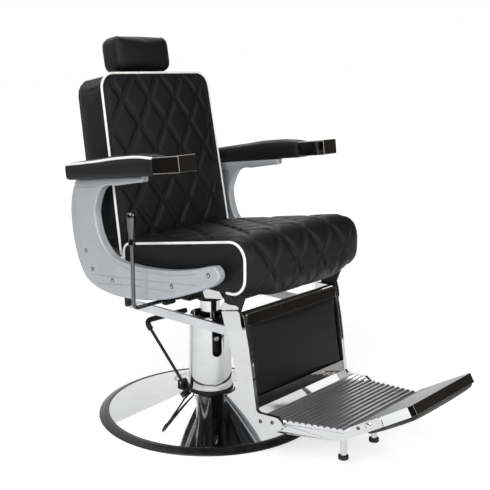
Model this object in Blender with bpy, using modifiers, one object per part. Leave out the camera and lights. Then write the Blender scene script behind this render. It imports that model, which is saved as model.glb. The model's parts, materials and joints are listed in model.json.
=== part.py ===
import math

import bmesh
import bpy
import numpy as np
from mathutils import Matrix, Vector

# Sizes in metres. The chair faces -Y, its right side is at -X and the floor is at Z = 0.
GAP = 0.0003

# Base and pump.
BASE_RADIUS = 0.341
RING_WIDTH = 0.030
RING_HEIGHT = 0.025
DISH_RIM = 0.020
DISH_CURVE = 1.2
NECK_RADIUS = 0.047
NECK_TOP = 0.068
COLLAR_RADIUS = 0.070
COLLAR_HEIGHT = 0.007
SHROUD_FOOT_RADIUS = 0.067
SHROUD_TOP_RADIUS = 0.061
SHROUD_WALL = 0.003
SHROUD_HEIGHT = 0.230
SLOT_WIDTH = 0.030
SLOT_DEPTH = 0.122
SLOT_TURN = math.radians(26.5)
CYLINDER_RADIUS = 0.046
CYLINDER_HEIGHT = 0.216
CYLINDER_FLOOR = 0.006
BOLT_RADIUS = 0.008
BOLT_DROP = 0.066
RAM_RADIUS = 0.030
RAM_FOOT = 0.012
SPIGOT_RADIUS = 0.022
SPIGOT_HEIGHT = 0.088
WASHER_HEIGHT = 0.003

# Pump lever.
LEVER_PIVOT = (-0.070, 0.050)
LEVER_LIFT = 0.013
LEVER_PIN_RADIUS = 0.004
LEVER_HUB_WIDTH = 0.014
LEVER_HUB_RADIUS = 0.009
LUG_THICKNESS = 0.004
LUG_WIDTH = 0.022
LEVER_RADIUS = 0.0047
LEVER_REACH = (-0.030, 0.130, 0.176)
GRIP_RADIUS = 0.0085
GRIP_LAP = 0.032
GRIP_LENGTH = 0.172

# Seat frame.
SEAT_BOTTOM = 0.462
BOARD_THICKNESS = 0.0165
PLATE_THICKNESS = 0.006
FRAME_HALF = 0.204
FRAME_FRONT = -0.300
FRAME_REAR = 0.100
BAR_HEIGHT = 0.013
BAR_WIDTH = 0.030
BAR_FRONT_Y = -0.055
BAR_REAR_Y = 0.070
HUB_RADIUS = 0.039
BRACKET_THICKNESS = 0.008
PIVOT_DROP = 0.070
SHAFT_RADIUS = 0.008
BACK_PIVOT_Y = 0.145
LEG_PIVOT_Y = -0.285
LINK_ARM = 0.047
LINK_HEIGHT = 0.026
LINK_THICKNESS = 0.009
LINK_STUD = 0.006
LINK_PLAY = 0.002
SIDE_BAR = 0.012

# Seat cushion.
SEAT_HALF = 0.242
SEAT_FRONT = -0.366
SEAT_REAR = 0.112
SEAT_TOP_FRONT = 0.155
SEAT_TOP_REAR = 0.083
SEAT_FRONT_ROUND = 0.052
SEAT_BULGE = 0.006
SEAT_PITCH_X = 0.105
SEAT_PITCH_Y = 0.150
QUILT_DEPTH = 0.007
QUILT_BASE = 0.6
CROWN = 0.008

# Arms.
ARM_INNER = 0.265
ARM_THICKNESS = 0.027
ARM_TIP = 0.085
ARM_TIP_HEIGHT = 0.016
ARM_NECK = 0.023
ARM_EDGE = 0.003
PAD_INNER = 0.264
PAD_WIDTH = 0.065
PAD_LENGTH = 0.374
PAD_THICKNESS = 0.049
PAD_REAR_Y = 0.248
PAD_REAR_RISE = 0.254
PAD_SLOPE = math.radians(6.76)
PAD_ROUND = 0.014
CAP_LENGTH = 0.098
CAP_INSET = 0.004
LEVER_BLOCK_WIDTH = 0.030
LEVER_BLOCK_DROP = 0.037
RECLINE_RADIUS = 0.0055
RECLINE_CLEAR = 0.053
RECLINE_IN = 0.166
RECLINE_AXIS_DROP = 0.060
RECLINE_GRIP_BASE = 0.171
RECLINE_GRIP_LENGTH = 0.090
LOCK_WIDTH = 0.055

# Back.
BACK_Y = 0.128
BACK_RISE = 0.028
BACK_TILT = math.radians(9.65)
BACK_HEIGHT = 0.5315
BACK_THICKNESS = 0.110
BACK_HALF_LOW = 0.229
BACK_HALF_TOP = 0.214
BACK_CORNER = 0.046
BACK_ROWS = 21
BACK_CROWN = 0.012
BACK_BULGE = 0.006
SHELL_THICKNESS = 0.012
HINGE_WIDTH = 0.024
HINGE_REACH = 0.200
SOCKET_HALF = 0.030
SOCKET_BASE = 0.360
SOCKET_HEIGHT = 0.130
POST_HALF = 0.015
POST_THICKNESS = 0.008
POST_FOOT = 0.250
PLAY = 0.0005

# Headrest.
HEAD_HALF = 0.098
HEAD_HEIGHT = 0.098
HEAD_DEPTH = 0.075
HEAD_CLEAR = 0.0135
HEAD_ROUND = 0.022
HEAD_PLATE = 0.004
HEAD_PLATE_HALF = 0.060
HEAD_PIN_RISE = 0.039
HEAD_PIN_RADIUS = 0.004
KNUCKLE_RADIUS = 0.010
HEAD_LUG = 0.004

# Legrest and foot plate.
PANEL_TOP = (-0.322, -0.057)
PANEL_BOTTOM = (-0.360, -0.305)
PANEL_THICKNESS = 0.022
TRIM_HEIGHT = 0.030
FOOT_RIBS = 10
FOOT_REAR = (-0.373, -0.319)
FOOT_FRONT = (-0.618, -0.294)
FOOT_THICKNESS = 0.006
RIB_HEIGHT = 0.005
FLANGE_DEPTH = 0.027
FLANGE_THICKNESS = 0.004
TAPER_START = -0.450
TAPER_STOP = -0.660
TAPER = 0.1446
FLIP_PIVOT = (-0.683, -0.269)
FLIP_TILT = math.radians(31.0)
FLIP_END = 0.043
FLIP_PIN_RADIUS = 0.004
STOP_HALF = 0.071
STOP_Y = -0.551
STOP_RADIUS = 0.0085
STOP_PAD_RADIUS = 0.014
STOP_PAD_HEIGHT = 0.010
STOP_DROP = 0.428

# Flip pad.
TRAY_LENGTH = 0.130
TRAY_TAIL = 0.034
TRAY_WALL = 0.0025
TRAY_DEPTH = 0.025
TRAY_CORNER = 0.010
TRAY_NARROWING = 0.0123
TRAY_CLEAR = 0.002
TRAY_LUG = 0.006
FLIP_PAD_DEPTH = 0.038
FLIP_PAD_INSET = 0.0045
FLIP_PAD_CROWN = 0.006
FLIP_PAD_ROUND = 0.013

for item in list(bpy.data.objects):
    bpy.data.objects.remove(item)

chair = bpy.data.collections.new("barber_chair")
bpy.context.scene.collection.children.link(chair)

FINISHES = {
    "chrome": ((0.78, 0.79, 0.80), 1.0, 0.08),
    "dark_chrome": ((0.20, 0.20, 0.21), 1.0, 0.10),
    "leather": ((0.014, 0.014, 0.016), 0.0, 0.45),
    "rubber": ((0.018, 0.018, 0.018), 0.0, 0.60),
    "grey_paint": ((0.40, 0.42, 0.44), 0.0, 0.40),
    "aluminium": ((0.60, 0.61, 0.62), 1.0, 0.35),
    "black_steel": ((0.020, 0.020, 0.021), 0.2, 0.45),
    "wood": ((0.45, 0.33, 0.20), 0.0, 0.60),
}


def link(name, data):
    item = bpy.data.objects.new(name, data)
    chair.objects.link(item)
    return item


def settle(item):
    """Turn a curve or a modified object into one clean mesh object of the same name and place."""
    bpy.context.view_layer.update()
    graph = bpy.context.evaluated_depsgraph_get()
    mesh = bpy.data.meshes.new_from_object(item.evaluated_get(graph))
    name = item.name
    place = item.matrix_world.copy()
    bpy.data.objects.remove(item)
    shape = bmesh.new()
    shape.from_mesh(mesh)
    bmesh.ops.remove_doubles(shape, verts=shape.verts, dist=0.000002)
    bmesh.ops.dissolve_degenerate(shape, edges=shape.edges, dist=0.000001)
    bmesh.ops.recalc_face_normals(shape, faces=shape.faces)
    shape.to_mesh(mesh)
    shape.free()
    result = link(name, mesh)
    result.name = name
    result.matrix_world = place
    return result


def merge(item, other, operation):
    """Join another solid to this one, or cut it away."""
    change = item.modifiers.new(operation, "BOOLEAN")
    change.operation = operation
    change.solver = "EXACT"
    change.object = other
    result = settle(item)
    bpy.data.objects.remove(other)
    return result


def paint(item, finish):
    colour, metal, rough = FINISHES[finish]
    skin = bpy.data.materials.new(finish + "_" + item.name)
    skin.use_nodes = True
    shader = skin.node_tree.nodes["Principled BSDF"]
    shader.inputs["Base Color"].default_value = (*colour, 1.0)
    shader.inputs["Metallic"].default_value = metal
    shader.inputs["Roughness"].default_value = rough
    skin.diffuse_color = (*colour, 1.0)
    item.data.materials.clear()
    item.data.materials.append(skin)
    return item


def side_view(x):
    """Place for a flat outline drawn in Y and Z, at this X."""
    return Matrix(((0, 0, 1, x), (1, 0, 0, 0), (0, 1, 0, 0), (0, 0, 0, 1)))


def tilted(y, z, angle):
    """Place with local X kept, local Y forward along the slope and local Z square to it."""
    return Matrix.Translation((0, y, z)) @ Matrix.Rotation(angle, 4, "X")


def rounded(corners, steps=4):
    """Closed outline with each corner (a, b, radius) turned into an arc."""
    points = []
    count = len(corners)
    for index, (a, b, radius) in enumerate(corners):
        here = Vector((a, b))
        before = (Vector(corners[index - 1][:2]) - here).normalized()
        after = (Vector(corners[(index + 1) % count][:2]) - here).normalized()
        if radius <= 0:
            points.append(here)
            continue
        half = before.angle(after) / 2
        reach = radius / math.tan(half)
        centre = here + (before + after).normalized() * (radius / math.sin(half))
        start = here + before * reach - centre
        stop = here + after * reach - centre
        sweep = start.angle_signed(stop)
        for step in range(steps + 1):
            turn = Matrix.Rotation(-sweep * step / steps, 2)
            points.append(centre + turn @ start)
    return points


def smooth(points, steps=3):
    """Curve through the points, open at both ends."""
    ends = [Vector(points[0])] + [Vector(p) for p in points] + [Vector(points[-1])]
    result = []
    for index in range(1, len(ends) - 2):
        p0, p1, p2, p3 = ends[index - 1:index + 3]
        for step in range(steps):
            t = step / steps
            curve = 2 * p1 + (p2 - p0) * t + (2 * p0 - 5 * p1 + 4 * p2 - p3) * t * t
            result.append((curve + (3 * p1 - p0 - 3 * p2 + p3) * t ** 3) / 2)
    result.append(ends[-2])
    return result


def circle(a, b, radius, count=20):
    turns = [2 * math.pi * step / count for step in range(count)]
    return [Vector((a + radius * math.cos(t), b + radius * math.sin(t))) for t in turns]


def slab(name, outline, thickness, place, holes=(), edge=0.0):
    """Flat outline with holes, given a thickness."""
    curve = bpy.data.curves.new(name, "CURVE")
    curve.dimensions = "2D"
    curve.fill_mode = "BOTH"
    curve.extrude = thickness / 2 - edge
    curve.bevel_depth = edge
    curve.offset = -edge
    curve.bevel_resolution = 0
    curve.render_resolution_u = 0
    for loop in [outline] + list(holes):
        spline = curve.splines.new("POLY")
        spline.points.add(len(loop) - 1)
        for point, where in zip(spline.points, loop):
            point.co = (where[0], where[1], 0, 1)
        spline.use_cyclic_u = True
    item = link(name, curve)
    item.matrix_world = place
    return settle(item)


def rod(name, points, radius, sides=2):
    """Round bar along the points."""
    curve = bpy.data.curves.new(name, "CURVE")
    curve.dimensions = "3D"
    curve.bevel_depth = radius
    curve.bevel_resolution = sides
    curve.use_fill_caps = True
    curve.render_resolution_u = 0
    spline = curve.splines.new("POLY")
    spline.points.add(len(points) - 1)
    for point, where in zip(spline.points, points):
        point.co = (*where, 1)
    return settle(link(name, curve))


def bend(a, corner, b, radius, steps=6):
    """Points from a to b with a rounded bend at the corner."""
    a, corner, b = Vector(a), Vector(corner), Vector(b)
    start = corner + (a - corner).normalized() * radius
    stop = corner + (b - corner).normalized() * radius
    points = [a]
    for step in range(steps + 1):
        t = step / steps
        points.append(start * (1 - t) ** 2 + corner * 2 * t * (1 - t) + stop * t * t)
    points.append(b)
    return points


def lathe(name, profile, steps, closed):
    """Profile (radius, height) turned about Z."""
    mesh = bpy.data.meshes.new(name)
    edges = [(i, i + 1) for i in range(len(profile) - 1)]
    if closed:
        edges.append((len(profile) - 1, 0))
    mesh.from_pydata([(r, 0, z) for r, z in profile], edges, [])
    item = link(name, mesh)
    turn = item.modifiers.new("turn", "SCREW")
    turn.steps = steps
    turn.render_steps = steps
    turn.use_merge_vertices = True
    turn.merge_threshold = 0.00001
    return settle(item)


def cylinder(name, centre, radius, length, axis, sides=24):
    mesh = bpy.data.meshes.new(name)
    shape = bmesh.new()
    bmesh.ops.create_cone(
        shape, cap_ends=True, segments=sides, radius1=radius, radius2=radius, depth=length
    )
    shape.to_mesh(mesh)
    shape.free()
    item = link(name, mesh)
    turn = Vector((0, 0, 1)).rotation_difference(Vector(axis)).to_matrix().to_4x4()
    item.matrix_world = Matrix.Translation(centre) @ turn
    return item


def box(name, low, high, place=Matrix(), edge=0.0):
    """Block between two corners of its own place, with small chamfers if an edge is given."""
    low, high = Vector(low), Vector(high)
    mesh = bpy.data.meshes.new(name)
    shape = bmesh.new()
    bmesh.ops.create_cube(shape, size=1.0)
    bmesh.ops.scale(shape, vec=high - low, verts=shape.verts)
    shape.to_mesh(mesh)
    shape.free()
    item = link(name, mesh)
    item.matrix_world = place @ Matrix.Translation((low + high) / 2)
    if edge <= 0:
        return item
    chamfer = item.modifiers.new("edges", "BEVEL")
    chamfer.width = edge
    chamfer.segments = 2
    return settle(item)


def pad(name, low, high, edge, crown, place, cuts=6, under=0.0):
    """Stuffed block: rounded edges, a crowned top and sides that draw in towards the bottom."""
    low, high = Vector(low), Vector(high)
    half = (high - low) / 2
    mesh = bpy.data.meshes.new(name)
    shape = bmesh.new()
    bmesh.ops.create_cube(shape, size=2.0)
    bmesh.ops.subdivide_edges(shape, edges=shape.edges, cuts=cuts, use_grid_fill=True)
    core = half - Vector((edge, edge, edge))
    rim = 1.0 - 2.0 * 2.0 / (cuts + 1)
    for vert in shape.verts:
        flat = []
        for axis in range(3):
            value = vert.co[axis]
            inner = max(-1.0, min(1.0, value / rim)) * core[axis]
            outer = max(0.0, (abs(value) - rim) / (1.0 - rim)) * math.copysign(edge, value)
            flat.append((inner, outer))
        base = Vector([pair[0] for pair in flat])
        lean = Vector([pair[1] for pair in flat])
        if lean.length > 0:
            lean = lean.normalized() * edge
        spot = base + lean
        across = (1 - (spot.x / half.x) ** 2) * (1 - (spot.y / half.y) ** 2)
        if vert.co.z > 0:
            spot.z += crown * max(0.0, across)
        else:
            spot.z -= under * max(0.0, across)
        vert.co = spot
    bmesh.ops.recalc_face_normals(shape, faces=shape.faces)
    shape.to_mesh(mesh)
    shape.free()
    item = link(name, mesh)
    item.matrix_world = place @ Matrix.Translation((low + high) / 2)
    return item


def quilt(a, b):
    """Height of the quilting, 0 in a channel and 1 on a diamond, at a and b in diamond pitches."""
    first = abs(a + b - round(a + b))
    second = abs(a - b - round(a - b))
    return 1.0 - math.exp(-(min(first, second) / 0.17) ** 2)


def loft(name, rings, place=Matrix()):
    """Solid skin over closed rings of equal count, capped at both ends."""
    mesh = bpy.data.meshes.new(name)
    shape = bmesh.new()
    rows = [[shape.verts.new(point) for point in ring] for ring in rings]
    middle = sum((point for ring in rings for point in ring), Vector()) / (len(rings) * len(rings[0]))
    for low, high in zip(rows, rows[1:]):
        for index in range(len(low)):
            after = (index + 1) % len(low)
            a, b, c, d = low[index], low[after], high[after], high[index]
            if ((a.co + c.co) / 2 - middle).length < ((b.co + d.co) / 2 - middle).length:
                shape.faces.new((a, b, c))
                shape.faces.new((a, c, d))
            else:
                shape.faces.new((a, b, d))
                shape.faces.new((b, c, d))
    caps = [shape.faces.new(rows[0]), shape.faces.new(rows[-1])]
    bmesh.ops.triangulate(shape, faces=caps, ngon_method="EAR_CLIP")
    bmesh.ops.recalc_face_normals(shape, faces=shape.faces)
    shape.to_mesh(mesh)
    shape.free()
    item = link(name, mesh)
    item.matrix_world = place
    return item


def pivot(name, where, items):
    """Empty on a joint axis, carrying the pieces that turn or slide there."""
    empty = link(name, None)
    empty.location = where
    bpy.context.view_layer.update()
    for item in items:
        place = item.matrix_world.copy()
        item.parent = empty
        item.matrix_parent_inverse = empty.matrix_world.inverted()
        item.matrix_world = place
    return empty


# Heights stacked from the seat and the base.
board_top = SEAT_BOTTOM - GAP
board_low = board_top - BOARD_THICKNESS
plate_top = board_low - GAP
plate_low = plate_top - PLATE_THICKNESS
bar_top = plate_low - GAP
bar_low = bar_top - BAR_HEIGHT
pivot_z = SEAT_BOTTOM - PIVOT_DROP
link_z = pivot_z - LINK_ARM
bar_inner = FRAME_HALF - SIDE_BAR
link_outer = bar_inner - GAP
link_inner = link_outer - LINK_THICKNESS
bracket_inner = FRAME_HALF + GAP
collar_low = NECK_TOP + GAP
collar_top = collar_low + COLLAR_HEIGHT
shroud_low = collar_top + GAP
shroud_top = shroud_low + SHROUD_HEIGHT
spigot_top = bar_top - 0.002
shoulder = spigot_top - SPIGOT_HEIGHT
washer_low = shoulder + GAP
washer_top = washer_low + WASHER_HEIGHT
hub_low = washer_top + GAP
back_place = tilted(BACK_Y, SEAT_BOTTOM + BACK_RISE, -BACK_TILT)
arm_place = tilted(PAD_REAR_Y, SEAT_BOTTOM + PAD_REAR_RISE, -PAD_SLOPE)
flip_z = SEAT_BOTTOM + FLIP_PIVOT[1]
flip_place = tilted(FLIP_PIVOT[0], flip_z, -FLIP_TILT)
foot_half = bar_inner - GAP
flip_half = foot_half - TAPER * (TAPER_START - TAPER_STOP)

bodies = {}


def add(body, item, finish):
    paint(item, finish)
    bodies.setdefault(body, []).append(item)
    return item


# Base: rubber floor ring, polished dish with a flared neck, and the pump standing on it.
ring_inner = BASE_RADIUS - RING_WIDTH
ring = [
    (BASE_RADIUS - 0.014, RING_HEIGHT),
    (BASE_RADIUS - 0.005, RING_HEIGHT - 0.005),
    (BASE_RADIUS, RING_HEIGHT - 0.015),
    (BASE_RADIUS, 0.004),
    (BASE_RADIUS - 0.004, 0),
    (ring_inner, 0),
    (ring_inner, RING_HEIGHT - 0.001),
    (ring_inner + 0.005, RING_HEIGHT),
]
add("base", lathe("base_ring", ring, 56, True), "rubber")

dish_radius = ring_inner - GAP
span = dish_radius - NECK_RADIUS
dish = [(0, NECK_TOP), (NECK_RADIUS, NECK_TOP)]
for step in range(1, 8):
    out = step / 7
    fall = (1 - out) ** DISH_CURVE * (NECK_TOP - 0.004 - DISH_RIM)
    dish.append((NECK_RADIUS + 0.002 + (span - 0.002) * out, DISH_RIM + fall))
dish += [(dish_radius, 0), (0, 0)]
add("base", lathe("base_dish", dish, 56, False), "chrome")

lever_y = LEVER_PIVOT[1]
lever_z = collar_top + LEVER_LIFT
lug_out = LEVER_HUB_WIDTH / 2 + GAP
collar = lathe(
    "pump_collar",
    [(0, collar_top), (COLLAR_RADIUS, collar_top), (COLLAR_RADIUS, collar_low), (0, collar_low)],
    40,
    False,
)
tab = box(
    "tab",
    (LEVER_PIVOT[0] - lug_out - LUG_THICKNESS, lever_y - LUG_WIDTH / 2, collar_low),
    (LEVER_PIVOT[0] / 2, lever_y + LUG_WIDTH / 2, collar_top),
)
collar = merge(collar, tab, "UNION")
lug = rounded([
    (lever_y - LUG_WIDTH / 2, collar_top - COLLAR_HEIGHT / 2, 0),
    (lever_y + LUG_WIDTH / 2, collar_top - COLLAR_HEIGHT / 2, 0),
    (lever_y + LUG_WIDTH / 2, lever_z + LUG_WIDTH / 2, LUG_WIDTH * 0.45),
    (lever_y - LUG_WIDTH / 2, lever_z + LUG_WIDTH / 2, LUG_WIDTH * 0.45),
])
pin_hole = circle(lever_y, lever_z, LEVER_PIN_RADIUS + GAP)
for side in (-1, 1):
    lug_x = LEVER_PIVOT[0] + side * (lug_out + LUG_THICKNESS / 2)
    ear = slab("ear", lug, LUG_THICKNESS, side_view(lug_x), [pin_hole])
    collar = merge(collar, ear, "UNION")
add("base", collar, "black_steel")
pin_length = 2 * (lug_out + LUG_THICKNESS + 0.001)
pin_centre = (LEVER_PIVOT[0], lever_y, lever_z)
add("base", cylinder("pump_lever_pin", pin_centre, LEVER_PIN_RADIUS, pin_length, (1, 0, 0), 20), "chrome")

bore = RAM_RADIUS + GAP
cylinder_top = shroud_low + CYLINDER_HEIGHT
pump = [
    (CYLINDER_RADIUS, cylinder_top),
    (CYLINDER_RADIUS, shroud_low),
    (0, shroud_low),
    (0, shroud_low + CYLINDER_FLOOR),
    (bore, shroud_low + CYLINDER_FLOOR),
    (bore, cylinder_top),
    (CYLINDER_RADIUS, cylinder_top),
]
add("base", lathe("pump_cylinder", pump, 32, False), "black_steel")

shroud = lathe(
    "column_shroud",
    [
        (SHROUD_TOP_RADIUS, shroud_top),
        (SHROUD_FOOT_RADIUS, shroud_low),
        (SHROUD_FOOT_RADIUS - SHROUD_WALL, shroud_low),
        (SHROUD_TOP_RADIUS - SHROUD_WALL, shroud_top),
    ],
    40,
    True,
)
facing = Matrix.Rotation(-SLOT_TURN, 4, "Z")
slot_low = shroud_top - SLOT_DEPTH + SLOT_WIDTH / 2
slot = slab(
    "slot",
    rounded([
        (-SLOT_WIDTH / 2, shroud_top + 0.02, 0),
        (SLOT_WIDTH / 2, shroud_top + 0.02, 0),
        (SLOT_WIDTH / 2, slot_low - SLOT_WIDTH / 2, SLOT_WIDTH * 0.45),
        (-SLOT_WIDTH / 2, slot_low - SLOT_WIDTH / 2, SLOT_WIDTH * 0.45),
    ]),
    SHROUD_FOOT_RADIUS,
    facing @ Matrix.Translation((0, -SHROUD_FOOT_RADIUS, 0)) @ Matrix.Rotation(math.pi / 2, 4, "X"),
)
add("base", merge(shroud, slot, "DIFFERENCE"), "chrome")
bolt_length = SHROUD_TOP_RADIUS - CYLINDER_RADIUS - GAP - 0.002
bolt_centre = facing @ Vector((0, -(CYLINDER_RADIUS + GAP + bolt_length / 2), shroud_top - BOLT_DROP))
bolt_axis = facing @ Vector((0, 1, 0))
add("base", cylinder("column_bolt", bolt_centre, BOLT_RADIUS, bolt_length, bolt_axis, 16), "chrome")

# Pump lever: hub on the pin, thin bent rod and an L-shaped rubber grip.
start = Vector(pin_centre)
reach = Vector(LEVER_REACH)
elbow = start + reach
lever_hub = slab(
    "pump_lever_rod",
    circle(lever_y, lever_z, LEVER_HUB_RADIUS),
    LEVER_HUB_WIDTH,
    side_view(LEVER_PIVOT[0]),
    [pin_hole],
)
grip_start = elbow - reach.normalized() * GRIP_LAP
stem_start = start + reach.normalized() * (LEVER_HUB_RADIUS * 0.78)
stem = rod("stem", [stem_start, grip_start - reach.normalized() * GAP], LEVER_RADIUS)
add("pump_lever", merge(lever_hub, stem, "UNION"), "black_steel")
grip_path = bend(grip_start, elbow, elbow + Vector((GRIP_LENGTH, 0, -0.004)), 0.020)
add("pump_lever", rod("pump_lever_grip", grip_path, GRIP_RADIUS, 2), "rubber")

# Ram, sliding in the pump cylinder, with the swivel spigot on top.
ram_low = shroud_low + CYLINDER_FLOOR + RAM_FOOT
ram = [
    (0, spigot_top),
    (SPIGOT_RADIUS, spigot_top),
    (SPIGOT_RADIUS, shoulder),
    (RAM_RADIUS, shoulder),
    (RAM_RADIUS, ram_low),
    (0, ram_low),
]
add("ram", lathe("ram", ram, 32, False), "chrome")
washer = [
    (HUB_RADIUS, washer_top),
    (HUB_RADIUS, washer_low),
    (SPIGOT_RADIUS + GAP, washer_low),
    (SPIGOT_RADIUS + GAP, washer_top),
]
add("ram", lathe("swivel_washer", washer, 32, True), "rubber")

# Seat frame: hub, plate, two cross bars to the arms, board and pivot brackets.
hub = [
    (HUB_RADIUS, bar_top),
    (HUB_RADIUS, hub_low),
    (SPIGOT_RADIUS + GAP, hub_low),
    (SPIGOT_RADIUS + GAP, bar_top),
]
add("seat", lathe("seat_hub", hub, 32, True), "black_steel")
plate = box("seat_plate", (-FRAME_HALF, FRAME_FRONT, plate_low), (FRAME_HALF, FRAME_REAR, plate_top))
add("seat", plate, "black_steel")
board = box("seat_board", (-FRAME_HALF, FRAME_FRONT, board_low), (FRAME_HALF, FRAME_REAR, board_top))
add("seat", board, "wood")
for name, bar_y in (("cross_bar_front", BAR_FRONT_Y), ("cross_bar_rear", BAR_REAR_Y)):
    low = (-(ARM_INNER - GAP), bar_y - BAR_WIDTH / 2, bar_low)
    high = (ARM_INNER - GAP, bar_y + BAR_WIDTH / 2, bar_top)
    add("seat", box(name, low, high), "black_steel")

front_outline = rounded([
    (LEG_PIVOT_Y - 0.042, board_top, 0.004),
    (LEG_PIVOT_Y + 0.024, board_top, 0.004),
    (LEG_PIVOT_Y + 0.016, pivot_z - 0.014, 0.012),
    (LEG_PIVOT_Y - 0.018, pivot_z - 0.014, 0.012),
])
bar_clear = BAR_REAR_Y + BAR_WIDTH / 2 + 0.002
rear_outline = rounded([
    (FRAME_REAR - 0.045, board_top, 0.004),
    (FRAME_REAR - 0.002, board_top, 0.004),
    (BACK_PIVOT_Y + 0.016, pivot_z + 0.014, 0.010),
    (BACK_PIVOT_Y + 0.016, pivot_z - 0.014, 0.012),
    (BACK_PIVOT_Y - 0.016, pivot_z - 0.014, 0.012),
    (bar_clear, bar_low, 0.006),
    (bar_clear, plate_low, 0),
    (FRAME_REAR - 0.045, plate_low, 0),
])
front_hole = circle(LEG_PIVOT_Y, pivot_z, SHAFT_RADIUS + GAP)
rear_hole = circle(BACK_PIVOT_Y, pivot_z, SHAFT_RADIUS + GAP)
bracket_x = bracket_inner + BRACKET_THICKNESS / 2
for side, word in ((-1, "right"), (1, "left")):
    place = side_view(side * bracket_x)
    item = slab("front_bracket_" + word, front_outline, BRACKET_THICKNESS, place, [front_hole])
    add("seat", item, "black_steel")
    item = slab("rear_bracket_" + word, rear_outline, BRACKET_THICKNESS, place, [rear_hole])
    add("seat", item, "black_steel")
shaft_length = 2 * (bracket_inner + BRACKET_THICKNESS + 0.002)
back_axis = (0, BACK_PIVOT_Y, pivot_z)
leg_axis = (0, LEG_PIVOT_Y, pivot_z)
add("seat", cylinder("back_shaft", back_axis, SHAFT_RADIUS, shaft_length, (1, 0, 0), 20), "chrome")
add("seat", cylinder("legrest_shaft", leg_axis, SHAFT_RADIUS, shaft_length, (1, 0, 0), 20), "chrome")

# Seat cushion: rounded front, sloping quilted top and plain drawn-in side panels.
corners = [
    (SEAT_REAR - 0.006, SEAT_BOTTOM, 0.004),
    (SEAT_REAR, SEAT_BOTTOM + SEAT_TOP_REAR, 0.034),
    (SEAT_FRONT, SEAT_BOTTOM + SEAT_TOP_FRONT, SEAT_FRONT_ROUND),
    (SEAT_FRONT, SEAT_BOTTOM, SEAT_FRONT_ROUND),
]
outline = rounded(corners, 10)
outline = np.array([(p.x, p.y) for p in outline[10:]] + [(p.x, p.y) for p in outline[:11]])
lengths = np.append(0, np.cumsum(np.linalg.norm(np.diff(outline, axis=0), axis=1)))
under_start = lengths[len(outline) - 12]
cells = round(under_start / (SEAT_PITCH_Y / 6))
stops = np.append(np.linspace(0, under_start, cells + 1), np.linspace(under_start, lengths[-1], 5)[1:-1])
ring_y = np.interp(stops, lengths, outline[:, 0])
ring_z = np.interp(stops, lengths, outline[:, 1])
ahead_y = np.interp(np.minimum(stops + 0.002, lengths[-1]), lengths, outline[:, 0])
ahead_z = np.interp(np.minimum(stops + 0.002, lengths[-1]), lengths, outline[:, 1])
back_y = np.interp(np.maximum(stops - 0.002, 0), lengths, outline[:, 0])
back_z = np.interp(np.maximum(stops - 0.002, 0), lengths, outline[:, 1])
normal_y = ahead_z - back_z
normal_z = back_y - ahead_y
normal_length = np.hypot(normal_y, normal_z)
centre_y = (SEAT_FRONT + SEAT_REAR) / 2
centre_z = SEAT_BOTTOM + (SEAT_TOP_FRONT + SEAT_TOP_REAR) / 4
pitch = under_start / cells * 6
half_cells = int(SEAT_HALF / (SEAT_PITCH_X / 6))
stations = [step * SEAT_PITCH_X / 6 for step in range(-half_cells, half_cells + 1)]
stations = [-SEAT_HALF] + stations + [SEAT_HALF]
rings = []
for x in stations:
    ring = []
    edge = 1 - abs(x / SEAT_HALF) ** 4
    for y, z, ny, nz, size, u in zip(ring_y, ring_z, normal_y, normal_z, normal_length, stops):
        fade = max(0.0, min(1.0, (u - 0.040) / 0.030, (under_start - u - 0.030) / 0.040))
        relief = QUILT_DEPTH * (quilt(u / pitch, x / SEAT_PITCH_X) - QUILT_BASE) * edge ** 0.5
        rise = fade * (CROWN * edge + relief)
        ring.append(Vector((x, y + rise * ny / size, z + rise * nz / size)))
    rings.append(ring)


def shrink(ring, x, share):
    drawn = [(centre_y + (p.y - centre_y) * share, centre_z + (p.z - centre_z) * share) for p in ring]
    return [Vector((x, y, z)) for y, z in drawn]


rings.insert(0, shrink(rings[0], -(SEAT_HALF + SEAT_BULGE * 0.7), 0.88))
rings.insert(0, shrink(rings[0], -(SEAT_HALF + SEAT_BULGE), 0.55))
rings.append(shrink(rings[-1], SEAT_HALF + SEAT_BULGE * 0.7, 0.88))
rings.append(shrink(rings[-1], SEAT_HALF + SEAT_BULGE, 0.55))
add("seat", loft("seat_cushion", rings), "leather")

# Arms: C-shaped castings between the cross bars and the sloping pads, with mirror end caps.
pad_front = (arm_place @ Vector((0, -PAD_LENGTH, 0))).yz
seat = SEAT_BOTTOM
tip_y = pad_front.x + ARM_TIP


def under_pad(y):
    """Height of the casting's top edge, just below the pad."""
    return seat + PAD_REAR_RISE + (PAD_REAR_Y - y) * math.tan(PAD_SLOPE) - GAP


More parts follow.
